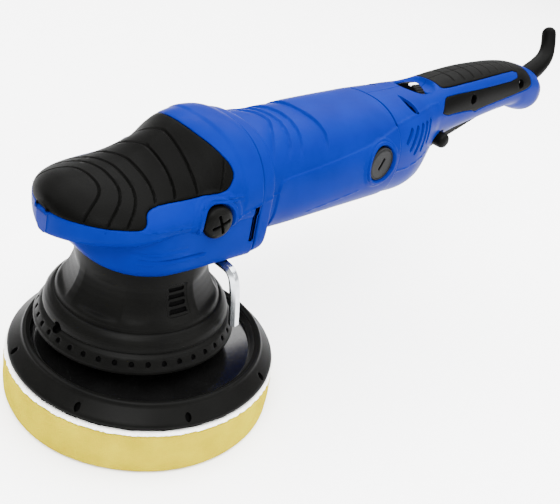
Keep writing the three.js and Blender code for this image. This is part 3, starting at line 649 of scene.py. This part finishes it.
def head_upper():
    xs = nose_first(HEAD_SEAM_X, NOSE_CENTRE_X, HEAD_HALF, 34)
    rows = interpolate(HEAD_TOP, xs)
    halves = half_width(xs, HEAD_HALF, NOSE_CENTRE_X)
    stations = [
        [half, LIP_BOTTOM, LIP_HEIGHT, top, square, 4] for half, (top, square) in zip(halves, rows)
    ]
    return loft(xs, stations, 176, close_start=True)


def head_lower():
    xs = nose_first(HEAD_SEAM_X, BOWL_CENTRE_X, BOWL_HALF, 24)
    bottoms = interpolate(BOWL, xs)[:, 0]
    halves = half_width(xs, BOWL_HALF, BOWL_CENTRE_X)
    stations = [[half, low, 114, 123, 8, 8] for half, low in zip(halves, bottoms)]
    return loft(xs, stations, 150, close_start=True)


def across_grip(apex, drop, reach, power):
    """Distance from a groove that bows over the back of the rubber."""
    def distance(points):
        share = np.abs(points[:, 1]) / reach
        slope = drop * power * share ** (power - 1) / reach
        return (points[:, 0] - apex + drop * share**power) / np.sqrt(1 + slope**2)

    return distance


def rear_grip_groove(points):
    """Distance from the straight, leaning groove nearest the rear of the rubber."""
    return (points[:, 0] - 15.8 - 0.41 * (points[:, 2] - 137.2)) * 0.92


def ring_edge(points):
    """Where the raised ring at the rear of the head begins, further back down the sides."""
    return points[:, 0] - 21.5 - 6.4 * (np.abs(points[:, 1]) / 38) ** 1.5


def make_head():
    grip = from_outline(GRIP_OUTLINE)
    boss = from_circle(CAP_X, CAP_Z)
    slot = from_outline([[37.8, 101.5], [41, 101.5], [40.8, 122.3], [37.7, 122.3]])
    fairing = rounded(
        [[-0.5, 118], [0.3, 123.5], [3.5, 128.4], [9, 131], [17, 131.4], [28, 130.6]], False,
    )
    inner_fairing = rounded([[3.6, 127.2], [8, 129.2], [16, 129.4], [28.4, 128.6]], False)
    rear_line = [[27, 118.9], [34, 121.2], [42.5, 124.4]]
    lip_line = rounded([[-30, 121.2], [-15, 120], [-2, 119.2]], False)
    beside = lambda points: (points[:, 2] < 150).astype(float)
    on_rubber = lambda points: ramp(grip(points), 0, -1.2)

    def ring_rise(points, value):
        return 0.6 * ramp(value, 0, 2.6) * ramp(points[:, 2], 121, 127)

    def lip_fade(points, value):
        return -1.15 * ramp(value, -34, -6) * ramp(points[:, 2], 119, 113)

    def boss_height(points, value):
        pad = 0.7 * ramp(value, 16.2, 14.6)
        ring = 1.2 * ramp(value, 12.8, 12.1) * ramp(value, 9.6, 10.2)
        return (pad + ring - 2.2 * ramp(value, 9.9, 9.4)) * beside(points)

    features = [
        fillet(grip, 0.9),
        *[groove(across_grip(*row), 0.85, 0.75, on_rubber) for row in GRIP_GROOVES],
        groove(rear_grip_groove, 0.7, 0.6, on_rubber),
        (ring_edge, (0, 1.3, 2.6), ring_rise),
        (lambda points: points[:, 0], (), lip_fade),
        (boss, (9.4, 9.9, 10.3, 12.1, 12.8, 14.6, 16.2), boss_height),
        pocket(slot, 2.6, 0.3, beside),
        ridge(from_line(fairing), 1.1, 0.55, beside),
        ridge(from_line(inner_fairing), 1.0, 0.45, beside),
        ridge(from_line(rear_line), 0.9, 0.5, beside),
        ridge(from_line(lip_line), 0.9, 0.45, beside),
        fillet(lambda points: points[:, 0] - HEAD_SEAM_X, 1.0),
    ]
    built = shaped(head_upper(), features)
    # The slot's walls and floor get painted shade, near-black, on both head shells.
    in_slot = lambda middles: (slot(middles) < 0) & (middles[:, 2] < 140)
    piece(
        "head_shell_upper", "housing", ["head_shell"], built, [(BLUE, None), (RECESS_SHADE, in_slot)],
        keep=lambda middles: grip(middles) > 0, wall=HEAD_WALL,
    )
    piece(
        "head_rubber_grip", "housing", ["head_grip"], built, [(RUBBER, None)],
        keep=lambda middles: grip(middles) < 0, wall=GRIP_WALL,
    )

    low_lines = [
        np.array([[-32, 108.6], [-22, 107.6], [-2, 107.2]]),
        np.array([[-30, 103.6], [-20, 102.4], [9, 101.8]]),
    ]
    in_front = lambda points: ramp(points[:, 0], -34, -24) * ramp(points[:, 0], 11, 7)
    features = [
        pocket(slot, 2.6, 0.3),
        *[groove(from_line(line), 0.8, 0.9, in_front) for line in low_lines],
        *[ridge(from_line(line - [0, 1.5]), 0.8, 0.45, in_front) for line in low_lines],
        fillet(lambda points: points[:, 0] - HEAD_SEAM_X, 1.0),
    ]
    neck = lambda points: np.hypot(points[:, 0], points[:, 1]) - NECK_RADIUS
    notch = from_line([[KEY_X, 80], [KEY_X, KEY_Z]])
    built = shaped(head_lower(), features, [(neck, 0), (notch, KEY_NOTCH_HALF)])
    in_notch = lambda middles: (notch(middles) < KEY_NOTCH_HALF) & (middles[:, 1] < -28)
    open_below = lambda middles: (neck(middles) < 0) & (middles[:, 2] < 100)
    below_lip = lambda middles: middles[:, 2] < 121.5
    outside = lambda middles: ~(open_below(middles) | in_notch(middles)) & below_lip(middles)
    piece(
        "head_shell_lower", "housing", [], built, [(BLUE, None), (RECESS_SHADE, in_slot)],
        keep=outside, wall=HEAD_WALL,
    )


def round_cap(name, nodes, x, z, side, profile, slots, slot_depth, skin, turn):
    """A turned cap facing out along Y. profile is [radius, |y|] points. slots are cuts across it,
    as (angle, width, length), and the whole cap is turned by turn."""
    base = turned(smooth_profile(profile, 0.6), 72)
    face_low, face_high = profile[-1][1] - 3.2, profile[-1][1] + 1

    def slot(angle, width, length):
        a, b = math.cos(turn + angle), math.sin(turn + angle)

        def distance(p):
            along, off = a * p[:, 0] + b * p[:, 1], -b * p[:, 0] + a * p[:, 1]
            return np.maximum(np.abs(off) - width / 2, np.abs(along) - length / 2)

        return distance

    cuts = [slot(*row) for row in slots]
    together = lambda p: np.min([cut(p) for cut in cuts], axis=0)
    on_face = lambda p: ((p[:, 2] > face_low) & (p[:, 2] < face_high)).astype(float)
    height = lambda p, value: -slot_depth * ramp(value, 0.05, -0.25) * on_face(p)
    points, faces, moved = shaped(base, [(together, (0, -0.25), height)])
    # The cross slots' walls and floors get painted shade, near-black.
    in_slots = lambda m: (together(m) < -0.1) & (on_face(m) > 0)
    placed = np.column_stack([x + moved[:, 0], side * moved[:, 2], z - side * moved[:, 1]])
    piece(name, "housing", nodes, (points, faces, placed), [(skin, None), (RECESS_SHADE, in_slots)])


def make_caps():
    domed = [
        [8.8, 37.5], [8.8, 41.2], [8.5, 42.2], [7.6, 43.2], [6.0, 44], [3.6, 44.5], [0.02, 44.7],
    ]
    flat = [
        [10.2, 33], [10.3, 37.4], [10.0, 37.9], [9.4, 38.1], [9.1, 37.7], [8.6, 37.9], [0.02, 37.9],
    ]
    cross = [(0.0, 1.7, 11.5), (math.pi / 2, 1.7, 11.5)]
    single = [(0.0, 1.8, 8)]
    for side, word in ((NEAR, "left"), (FAR, "right")):
        round_cap(
            f"cap_{word}_domed", [f"head_cap_{word}"], CAP_X, CAP_Z, side, domed, cross, 1.6, SATIN, 0.35,
        )
        round_cap(
            f"cap_{word}_brush", [f"brush_cap_{word}"], BRUSH_X, BRUSH_Z, side, flat, single, 1.4, GREY, 1.1,
        )


# ---- The motor barrel ----
# x, half-width, bottom, top, upper and lower power.
BARREL = [
    [42.4, 40.2, 89.6, 158, 2.35, 8],
    [50, 39.8, 90.4, 156.8, 2.35, 7],
    [53.2, 36.9, 93.4, 154.4, 2.3, 3],
    [70, 36.2, 92, 154.4, 2.3, 2.6],
    [110, 36.7, 93.4, 157.4, 2.3, 2.4],
    [157, 37.1, 95.4, 160.2, 2.3, 2.3],
]
# The top edge of the raised side panel.
PANEL_LINE = [
    [56.6, 127], [57.3, 130.6], [60.5, 132.6], [84, 134.9], [111, 139.3], [131, 142.6], [158, 150.2],
]

# Scoops across the top: x of the rear edge against distance from the middle, and their length.
SCOOPS = [
    ([[0, 71.8], [6, 71], [14, 66.6], [23, 61], [29.4, 57], [38, 54]], 9),
    ([[0, 77.4], [6, 77], [19, 74.4], [27.6, 70.4], [33.6, 65.4], [38, 62]], 9.5),
    ([[0, 84.6], [6, 84.2], [21, 81.6], [30, 77.4], [38, 72]], 10.5),
    ([[0, 97.4], [8, 98], [16, 98.8], [24, 99], [29, 97.8], [38, 93]], 14),
]


def body_rows(table, xs):
    """Sections for loft out of a table like BARREL, widest halfway up."""
    rows = interpolate(table, xs)
    return [[half, low, (low + top) / 2, top, up, down] for half, low, top, up, down in rows]


def scoop(edge, length):
    """A shallow scoop that deepens towards a crisp rear edge, and fades out down the side."""
    def behind(points):
        return points[:, 0] - interpolate(edge, np.abs(points[:, 1]))[:, 0]

    def height(points, value):
        t = np.clip(1 + value / length, 0, 1)
        shape = t**1.6 * ramp(value, 0, -1.3)
        return -1.5 * shape * ramp(points[:, 2], 138, 149)

    return behind, (-4, -1.3, -0.6, 0), height


def make_barrel():
    xs = np.concatenate([
        np.arange(BARREL_START_X, 56, 0.8), np.arange(56, BARREL_END_X, 1.4), [BARREL_END_X],
    ])
    boss = from_circle(BRUSH_X, BRUSH_Z)
    panel = from_outline([[56.6, 60], *rounded(PANEL_LINE, False), [158, 60]])
    low_line = [[86, 107.5], [113, 112.2], [126, 114.6]]
    joint_line = [[42, 124.2], [56.8, 125.2]]
    below = lambda points: (points[:, 2] < 152).astype(float)

    def panel_height(points, value):
        return 0.8 * ramp(value, 0.1, -0.9) * ramp(points[:, 2], 97, 103)

    def boss_height(points, value):
        pad = 0.7 * ramp(value, 15.4, 14)
        ring = 1.0 * ramp(value, 13, 12.4) * ramp(value, 10.6, 11.1)
        return (pad + ring - 2.4 * ramp(value, 10.9, 10.4)) * below(points)

    features = [
        *[scoop(*row) for row in SCOOPS],
        (panel, (0.1, -0.4, -0.9), panel_height),
        (boss, (10.4, 10.9, 11.3, 12.4, 13, 14, 15.4), boss_height),
        ridge(from_line(low_line), 0.8, 0.3, below),
        ridge(from_line(joint_line), 0.8, 0.45, below),
        fillet(lambda points: points[:, 0] - BARREL_START_X, 1.0),
        fillet(lambda points: points[:, 0] - BARREL_END_X, 0.9),
    ]
    built = shaped(loft(xs, body_rows(BARREL, xs), 176), features)
    piece("motor_barrel", "housing", ["motor_housing"], built, [(BLUE, None)], wall=BARREL_WALL)


# ---- Rear housing and handle ----
# The same columns as BARREL.
REAR = [
    [157.4, 37.1, 95.4, 160.2, 2.3, 2.3], [178, 35.2, 95.9, 161.2, 2.3, 2.5],
    [192, 31.8, 97.4, 162.5, 2.3, 2.5], [203, 27.3, 106.5, 163.2, 2.3, 2.5],
    [213, 23.8, 120.4, 164.2, 2.3, 2.5], [235, 21.2, 127.4, 168.2, 2.3, 2.5],
    [270, 20.2, 134, 172, 2.3, 2.5], [300, 19.7, 139, 172.8, 2.3, 2.5],
    [318, 19.7, 141, 172, 2.3, 2.5], [328, 19.6, 137.5, 170.7, 2.3, 2.5],
    [342, 19, 134.6, 167.4, 2.3, 2.5], [353, 16, 135.8, 162.8, 2.2, 2.4],
    [359, 12, 139, 158.4, 2.1, 2.2], [361.6, 7.6, 142.8, 154.2, 2, 2],
    [362.6, 3, 146, 150.5, 2, 2],
]
# The edge of the handle's rubber, seen from the side.
HANDLE_OUTLINE = rounded([
    [219.2, 163.6], [222.4, 163], [252, 166.2], [284, 168.9], [311.6, 170.4], [307.6, 165], [270, 162.2],
    [222.4, 159.3], [217.8, 157.5], [213.2, 147.2], [252, 147.8], [258, 145.4], [262.6, 147.6],
    [300, 153], [329, 158.6], [329.6, 163.5], [328.6, 169.5], [323, 181], [219.2, 181],
], times=1)
HANDLE_SCREWS = [[251.5, 155.3], [313, 161.8]]
VENT_OUTLINE = rounded([
    [177.6, 161], [180.8, 159.2], [183.2, 156.2], [183.4, 152.8], [179.6, 153.6], [177, 155.8],
    [175.8, 158.8],
])
LOUVRES = [
    [[165.4, 139.6], [171.4, 146.2]], [[169.6, 134.6], [178.2, 146.8]],
    [[175, 131.6], [184.6, 147.4]], [[182.2, 132.6], [190.4, 147.8]],
    [[189.4, 136.4], [196, 148.2]],
]
# The oval recess round the dial.
RECESS_HALF_LENGTH, RECESS_HALF_WIDTH = 14.5, 19
RECESS_RIM_HEIGHT, RECESS_DEPTH = 164.2, 5.5
ABOVE_EVERYTHING = 200


def recess_floor(points):
    """Height of the dial's recess at each point, and far above the body outside its oval."""
    share = ((points[:, 0] - DIAL_X) / RECESS_HALF_LENGTH) ** 2
    share += (points[:, 1] / RECESS_HALF_WIDTH) ** 2
    floor = RECESS_RIM_HEIGHT - RECESS_DEPTH * np.sqrt(np.clip(1 - share, 0, 1))
    return np.where(share < 1, floor, ABOVE_EVERYTHING)


def make_rear():
    xs = np.concatenate([
        np.arange(REAR_START_X, 235, 1.2), np.arange(235, 345, 1.6), np.arange(345, 360, 0.9),
        [360.4, 361.1, 361.6, 362, 362.3, HANDLE_END_X],
    ])
    grip = from_outline(HANDLE_OUTLINE)
    vent = from_outline(VENT_OUTLINE)
    louvres = [from_line(line) for line in LOUVRES]
    in_louvre = lambda points: np.min([line(points) for line in louvres], axis=0) - 1.45
    screws = [from_circle(*place) for place in HANDLE_SCREWS]
    in_screw = lambda points: np.min([hole(points) for hole in screws], axis=0) - 3.4
    foot = from_outline(rounded([[172, 92], [174, 103.5], [184, 105.5], [190, 99], [190, 92]], times=1))
    panel_edge = [[157, 149.9], [175, 152.4], [196, 155.2], [210, 156]]
    lower_edge = [[157, 122.2], [172, 123.2], [186, 126.4], [196, 131]]
    recess = lambda points: recess_floor(points) - points[:, 2]
    off_top = lambda points: (points[:, 2] < 163).astype(float)
    on_sides = lambda points: (np.abs(points[:, 1]) > 8).astype(float)
    on_top_band = lambda p: ramp(grip(p), -0.6, -1.8) * ramp(p[:, 2], 164.5, 167)

    def edge_height(points, value):
        return 0.5 * (1 - ramp(value, 0.1, 0.9)) * off_top(points) * on_sides(points)

    def from_rib(x):
        return lambda points: points[:, 0] - x + 0.012 * (np.abs(points[:, 1]) - 6) ** 2

    features = [
        fillet(grip, 0.7),
        *[groove(from_rib(x), 0.9, 0.55, on_top_band) for x in np.arange(236, 318, 10.5)],
        pocket(vent, 3.2, 0.6, on_sides),
        pocket(in_louvre, 2.0, 0.4, on_sides),
        pocket(in_screw, 3.6, 0.3, on_sides),
        pocket(foot, 2.5, 0.5, on_sides),
        (from_line(panel_edge), (0.1, 0.9), edge_height),
        (from_line(lower_edge), (0.1, 0.9), edge_height),
        fillet(lambda points: points[:, 0] - REAR_START_X, 0.9),
        fillet(lambda points: points[:, 1], 0.35),
    ]
    lock = from_circle(LOCK_X, LOCK_Z)
    dial_slot = lambda p: np.maximum(np.abs(p[:, 0] - DIAL_X) - 4.7, np.abs(p[:, 1]) - 11.6)
    trigger_slot = lambda p: np.maximum(np.abs(p[:, 0] - 255) - 39, np.abs(p[:, 1]) - 8.2)
    guard = lambda p: np.hypot(p[:, 1], 0.86 * (p[:, 2] - 166.4) - 0.5 * (p[:, 0] - 361)) - 7.6
    well_outside = 50
    guard_hole = lambda p: np.where(p[:, 0] > 340, guard(p), well_outside)
    lines = [
        (recess, 0), (lock, LOCK_HOLE_RADIUS), (dial_slot, 0), (trigger_slot, 0), (guard_hole, 0),
    ]
    sink = lambda points: np.clip(points[:, 2] - recess_floor(points), 0, None) * (points[:, 2] > 150)
    base = loft(xs, body_rows(REAR, xs), 150, close_end=True)
    built = shaped(base, features, lines, sink)

    def closed(middles):
        through_dial = (dial_slot(middles) < 0) & (middles[:, 2] > 150)
        through_trigger = (trigger_slot(middles) < 0) & (middles[:, 2] < 150)
        through_lock = (lock(middles) < LOCK_HOLE_RADIUS) & (middles[:, 1] < 0)
        return ~(through_dial | through_trigger | through_lock | (guard_hole(middles) < 0))

    # Screw pits, the foot pocket and the vent pocket get painted shade, near-black, on the shells and the
    # handle rubber.
    pits = lambda m: (in_screw(m) < 0) | (foot(m) < -0.2) | (vent(m) < -0.3)
    in_pits = lambda m: pits(m) & (np.abs(m[:, 1]) > 8)
    for side, word in ((NEAR, "left"), (FAR, "right")):
        here = on_side(side)
        piece(
            f"rear_shell_{word}", "housing", [f"rear_housing_{word}"], built,
            [(BLUE, None), (RECESS_SHADE, in_pits)],
            keep=lambda m: here(m) & closed(m) & (grip(m) > 0), wall=REAR_WALL,
        )
        piece(
            f"handle_rubber_{word}", "housing", [f"handle_grip_{word}"], built,
            [(RUBBER, None), (RECESS_SHADE, in_pits)],
            keep=lambda m: here(m) & closed(m) & (grip(m) < 0), wall=REAR_WALL,
        )


# ---- Cord guard ----
GUARD_PATH = [
    [343, 0, 153.6], [352, 0, 159], [362.4, 0, 164.6], [369.4, 0.6, 168.2], [375.6, 1.8, 171.9],
    [380.4, 3.8, 176.5], [383.2, 6, 181.2], [384.7, 8, 185.5], [385.5, 9.6, 189],
]
GUARD_RADII = [8.2, 8, 7.4, 7, 6.6, 6.1, 5.8, 5.7, 5.6]


def make_guard():
    """The rubber sleeve that a cord leaves by, with a rounded tip. The photograph shows no cord."""
    count = 60
    line = through(GUARD_PATH, count)
    radii = through([[radius] for radius in GUARD_RADII], count)[:, 0]
    turn = np.linspace(0, np.pi / 2, 10)[1:]
    direction = line[-1] - line[-2]
    direction /= np.linalg.norm(direction)
    tip = [line[-1] + direction * 5.4 * math.sin(t) for t in turn]
    tip_radii = [max(GUARD_RADII[-1] * math.cos(t), 0.05) for t in turn]
    built = plain(tube([*line, *tip], [*radii, *tip_radii], 40))
    piece("cord_guard_sleeve", "housing", ["cord_guard"], built, [(RUBBER, None)])


# ---- Controls ----
def make_controls():
    paddle = rounded([
        [222, 114], [225, 112.5], [249, 121.5], [270, 128.3], [290, 135.2], [292.8, 139], [289, 142],
        [250, 129.8], [231, 126], [224, 121],
    ], times=2)
    built = plain(plate(paddle, -7.5, 7.5))
    piece("trigger_paddle", "trigger", ["trigger"], built, [(SATIN, None)], bevel=1.4)

    knob = [
        [5.2, 14.5], [5.2, 24.6], [5.0, 25.8], [4.4, 26.9], [3.2, 27.7], [1.6, 28.1], [0.02, 28.2],
    ]
    points, faces = turned(smooth_profile(knob, 0.6), 48)
    faced = np.column_stack([LOCK_X + points[:, 0], -points[:, 2], LOCK_Z + points[:, 1]])
    piece("lock_knob", "lock", ["lock_button"], (points, faces, faced), [(SATIN, None)])
    make_dial()


def make_dial():
    """A knurled wheel across the body, with one white mark on its rim."""
    edge, bore, half = DIAL_RADIUS, 1.7, 4
    rim = [
        [bore, -half], [edge - 0.6, -half], [edge - 0.1, -3.4], [edge, -2.6], [edge, 2.6],
        [edge - 0.1, 3.4], [edge - 0.6, half], [bore, half], [bore, -half],
    ]
    points, faces = turned(smooth_profile(rim, 0.7), 240)
    mark_angle = 1.5
    around = lambda p: np.arctan2(p[:, 1], p[:, 0])
    outer = lambda p: np.hypot(p[:, 0], p[:, 1]) > edge - 1
    angle = around(points)
    plain_there = (np.abs(angle - mark_angle) < 0.12) | ~outer(points)
    notch = np.where(plain_there, 0, 0.35 * np.clip(np.cos(angle * KNURLS), 0, 1))
    radius = np.hypot(points[:, 0], points[:, 1]) - notch
    wheel = np.column_stack([
        DIAL_X + points[:, 2], -radius * np.cos(angle), DIAL_Z + radius * np.sin(angle),
    ])
    white = lambda m: (np.abs(around(m) - mark_angle) < 0.11) & outer(m)
    skins = [(SATIN, None), (WHITE, white)]
    piece("speed_wheel", "dial", ["speed_dial"], (points, faces, wheel), skins)


# ---- Shroud, plates and pad ----
# [radius, height] points round the wall of the shroud, and [height, radius] inside that wall.
SHROUD_PROFILE = [
    [52, 43], [54.6, 43], [55, 43.5], [55, 45.2], [54.2, 46.4], [52.2, 50.2], [51, 51.4], [50.2, 51.8],
    [49.8, 52.4], [50.4, 53.2], [50.3, 55], [49.6, 57.2], [48.2, 59.4], [46.4, 61.2], [45.4, 61.7],
    [44.8, 61.6], [44.4, 62.2], [44, 63.6], [42.4, 66.6], [40.4, 69.6], [38.6, 73], [37.2, 76.6],
    [36.2, 80.5], [35.9, 85], [35.9, 90], [35.9, 96.4], [33.4, 96.4], [33.4, 89.8], [24.2, 89.8],
    [24.2, 86.6], [33.2, 86.6], [33.9, 78], [36.4, 71], [40.6, 64.5], [42.6, 62], [46.2, 58], [47.4, 54],
    [47.4, 51], [52, 43],
]
SHROUD_WALL = [
    [43, 53], [51, 48.6], [54, 48.8], [58, 47.4], [62, 43.6], [64.5, 42.2], [71, 38], [78, 35.2],
    [97, 34.7],
]
# The bell's flat faces: from and to, in degrees round from the nose, the same on both sides.
FACETS = [(4, 44), (44, 64), (76, 102), (102, 140), (140, 180)]
# The window's slots: from and to in the same degrees, and their heights.
WINDOW_SIDES = (78.5, 94)
WINDOW_ROWS = [70.2, 73.7, 77.2, 80.7]
BELL_RADIUS = 40
RIM_HOLES = 40
PLATE_VENTS = 8


def from_nose(points):
    """Degrees round the spindle, from the nose, the same on both sides."""
    return np.degrees(np.arctan2(np.abs(points[:, 1]), -points[:, 0]))


def make_shroud():
    base = turned(smooth_profile(SHROUD_PROFILE, 1.0), 240)
    radius = lambda p: np.hypot(p[:, 0], p[:, 1])
    outside = lambda p: radius(p) > interpolate(SHROUD_WALL, p[:, 2])[:, 0]
    on_bell = lambda p: ramp(p[:, 2], 64.5, 67.5) * ramp(p[:, 2], 86, 79) * outside(p)

    def facet(start, end):
        middle, half = (start + end) / 2, (end - start) / 2
        value = lambda p: np.abs(from_nose(p) - middle) - half

        def height(p, v):
            turn = np.radians(np.clip(np.abs(from_nose(p) - middle), 0, half))
            flat = radius(p) * (1 - math.cos(math.radians(half)) / np.cos(turn))
            return -0.7 * np.where(v < 0, flat, 0) * on_bell(p)

        return value, (0,), height

    arc = lambda p: np.radians(from_nose(p)) * BELL_RADIUS
    arc_start, arc_end = (math.radians(side) * BELL_RADIUS for side in WINDOW_SIDES)
    beside = lambda p: np.maximum(arc_start - arc(p), arc(p) - arc_end)
    frame_edge = lambda p: np.maximum(beside(p) - 1.6, np.abs(p[:, 2] - 75.6) - 8)
    in_row = lambda p: np.min([np.abs(p[:, 2] - z) for z in WINDOW_ROWS], axis=0) - 1.1
    slot = lambda p: np.maximum(beside(p), in_row(p))
    turned_by = lambda p: np.arctan2(p[:, 1], p[:, 0]) / (2 * np.pi / RIM_HOLES)
    off_hole = lambda p: (turned_by(p) - np.round(turned_by(p))) * 8.3
    hole = lambda p: np.hypot(off_hole(p), p[:, 2] - 48.4) - 1.4
    big_hole = lambda p: np.linalg.norm(p - [-51, -3.4, 52.6], axis=1) - 3.1
    outer_skin = lambda p: outside(p).astype(float)
    features = [
        *[facet(*row) for row in FACETS],
        pocket(frame_edge, 0.45, 0.4, outer_skin),
        pocket(slot, 0.9, 0.3, outer_skin),
        pocket(hole, 1.1, 0.3, outer_skin),
        pocket(big_hole, 2.2, 0.5, outer_skin),
    ]
    built = shaped(base, features)
    # The window slots, rim holes and the large hole get painted shade, near-black.
    dark = lambda m: ((slot(m) < 0) | (hole(m) < 0) | (big_hole(m) < -0.1)) & outside(m)
    piece("shroud_bell", "housing", ["shroud"], built, [(SATIN, None), (RECESS_SHADE, dark)])


def from_pad_axis(points):
    """Each point's offset from the pad's own axis, across the axis."""
    return np.column_stack([points[:, 0] - PAD_X, points[:, 1] - PAD_Y])


def pad_radius(points):
    return np.hypot(*from_pad_axis(points).T)


def pushed_out(points, amount):
    """Moves points straight away from the pad's axis."""
    moved = points.copy()
    away = from_pad_axis(points)
    moved[:, :2] += away / np.maximum(pad_radius(points), 1)[:, None] * amount[:, None]
    return moved


def make_backing_plate():
    profile = [
        [7.4, 27.6], [72.9, 27.6], [73.5, 28], [73.6, 29.2], [73, 30.2], [66.6, 36.2], [66, 37.4],
        [65.4, 37.9], [64.2, 38], [63.6, 37.4], [62.8, 37.3], [62.2, 36.8], [60.4, 32.4],
        [59.4, 31.6], [24, 31.5], [22.6, 32.2], [20.6, 36.4], [19.6, 37], [4.4, 37], [4.4, 33.4],
        [7.4, 33.4], [7.4, 27.6],
    ]
    vent_angle = 2 * np.pi / PLATE_VENTS
    heading = lambda p: np.arctan2(p[:, 1] - PAD_Y, p[:, 0] - PAD_X)
    turned_by = lambda p: (heading(p) - math.radians(28.8)) / vent_angle
    off_vent = lambda p: (turned_by(p) - np.round(turned_by(p))) * 55
    vent = lambda p: np.hypot(off_vent(p) / 1.6, (pad_radius(p) - 71) / 1.9) - 1
    upward = lambda p: ((p[:, 2] > 29.5) & (pad_radius(p) > 66)).astype(float)
    dip = lambda p, value: -2.0 * ramp(value, 0, -0.2) * upward(p)
    base = turned(smooth_profile(profile, 1.0), 400, PAD_X, PAD_Y)
    built = shaped(base, [(vent, (0, -0.2), dip)])
    # The vent dips on the top face get painted shade, near-black.
    dark = lambda m: (vent(m) < 0) & (upward(m) > 0)
    glossy = lambda m: (pad_radius(m) < 62.3) & (m[:, 2] > 30)
    skins = [(SATIN, None), (GLOSS, glossy), (RECESS_SHADE, dark)]
    piece("pad_backing_plate", "pad", ["backing_plate"], built, skins)


def make_loop_disc():
    random = np.random.default_rng(7)
    profile = [
        [0.05, 24.5], [70, 24.5], [74.2, 24.5], [74.9, 25], [74.8, 25.7], [73.6, 26.1],
        [72.7, 25.9], [0.05, 25.9],
    ]
    points, faces = turned(profile, 400, PAD_X, PAD_Y)
    edge = pad_radius(points) > 72
    moved = pushed_out(points, random.uniform(-0.45, 0.25, len(points)) * edge)
    moved[:, 2] += random.uniform(-0.1, 0.18, len(points)) * edge
    piece("loop_disc", "pad", ["loop_layer"], (points, faces, moved), [(FELT, None)], angle=60)


def make_foam_disc():
    profile = [
        [0.05, 0], [71.5, 0], [73.4, 0.35], [74.5, 1.3], [74.95, 3], [75.15, 8], [75.15, 14],
        [74.95, 20], [74.6, 22.6], [73.9, 23.9], [73, 24.2], [0.05, 24.2],
    ]
    points, faces = turned(smooth_profile(profile, 1.6), 240, PAD_X, PAD_Y)
    turn = np.arctan2(points[:, 1] - PAD_Y, points[:, 0] - PAD_X)
    sway = 0.18 * np.sin(3 * turn + 0.7) + 0.12 * np.sin(7 * turn + 2.1)
    sway += 0.1 * np.sin(points[:, 2] * 0.5 + 4 * turn)
    moved = pushed_out(points, sway * (pad_radius(points) > 72))
    foam = piece("foam_disc", "pad", ["foam_pad"], (points, faces, moved), [(FOAM, None)], angle=50)


def make_key():
    """The hex key, bent down out of its clip in the head."""
    path = [
        [KEY_X, -30, KEY_Z], [KEY_X, -36, KEY_Z], [27.2, -40.5, 87.4], [27.7, -43.8, 84],
        [28.4, -45.2, 78.7], [29.8, -45.8, 69], [31.6, -46.2, 54.5],
    ]
    line = through(path, 70)
    built = plain(tube(line, np.full(len(line), 2.95), 36, flats=0.9))
    piece("hex_key_bar", "key", ["hex_key"], built, [(CHROME, None)], bevel=0.25)


# ---- Room ----
def make_room():
    material, tree, shader = node_material("pale_floor")
    colour = tint(tree, noise(tree, 60, 2), (0.93, 0.93, 0.93), (0.95, 0.95, 0.95))
    tree.links.new(colour, shader.inputs["Base Color"])
    shader.inputs["Roughness"].default_value = 0.9
    shader.inputs["Specular IOR Level"].default_value = 0.1
    mesh = bpy.data.meshes.new("floor")
    reach = 6
    corners = [(-reach, -reach, 0), (reach, -reach, 0), (reach, reach, 0), (-reach, reach, 0)]
    mesh.from_pydata(corners, [], [(0, 1, 2, 3)])
    mesh.materials.append(material)
    floor = bpy.data.objects.new("floor", mesh)
    floor.location.z = -0.0004
    bpy.context.collection.objects.link(floor)

    world = bpy.data.worlds.new("studio")
    world.use_nodes = True
    background = world.node_tree.nodes["Background"]
    background.inputs["Color"].default_value = (1, 1, 1, 1)
    background.inputs["Strength"].default_value = 1.4
    bpy.context.scene.world = world


def area_light(name, place, aim, size, watts):
    data = bpy.data.lights.new(name, "AREA")
    data.shape = "RECTANGLE"
    data.size, data.size_y = size
    data.energy = watts
    light = bpy.data.objects.new(name, data)
    light.location = place
    light.rotation_euler = (Vector(aim) - Vector(place)).to_track_quat("-Z", "Y").to_euler()
    bpy.context.collection.objects.link(light)


def make_lights():
    middle = (0.12, 0, 0.12)
    area_light("ceiling", (0.5, 0.4, 2), (0.5, 0.4, 0), (4, 4), 520)
    area_light("key_softbox", (-0.7, -0.6, 1.3), middle, (0.8, 0.6), 40)
    area_light("side_softbox", (0.5, -1.3, 0.7), middle, (1.2, 0.4), 20)


dress_frame()
make_head()
make_caps()
make_barrel()
make_rear()
make_guard()
make_controls()
make_shroud()
make_backing_plate()
make_loop_disc()
make_foam_disc()
make_key()
make_room()
make_lights()
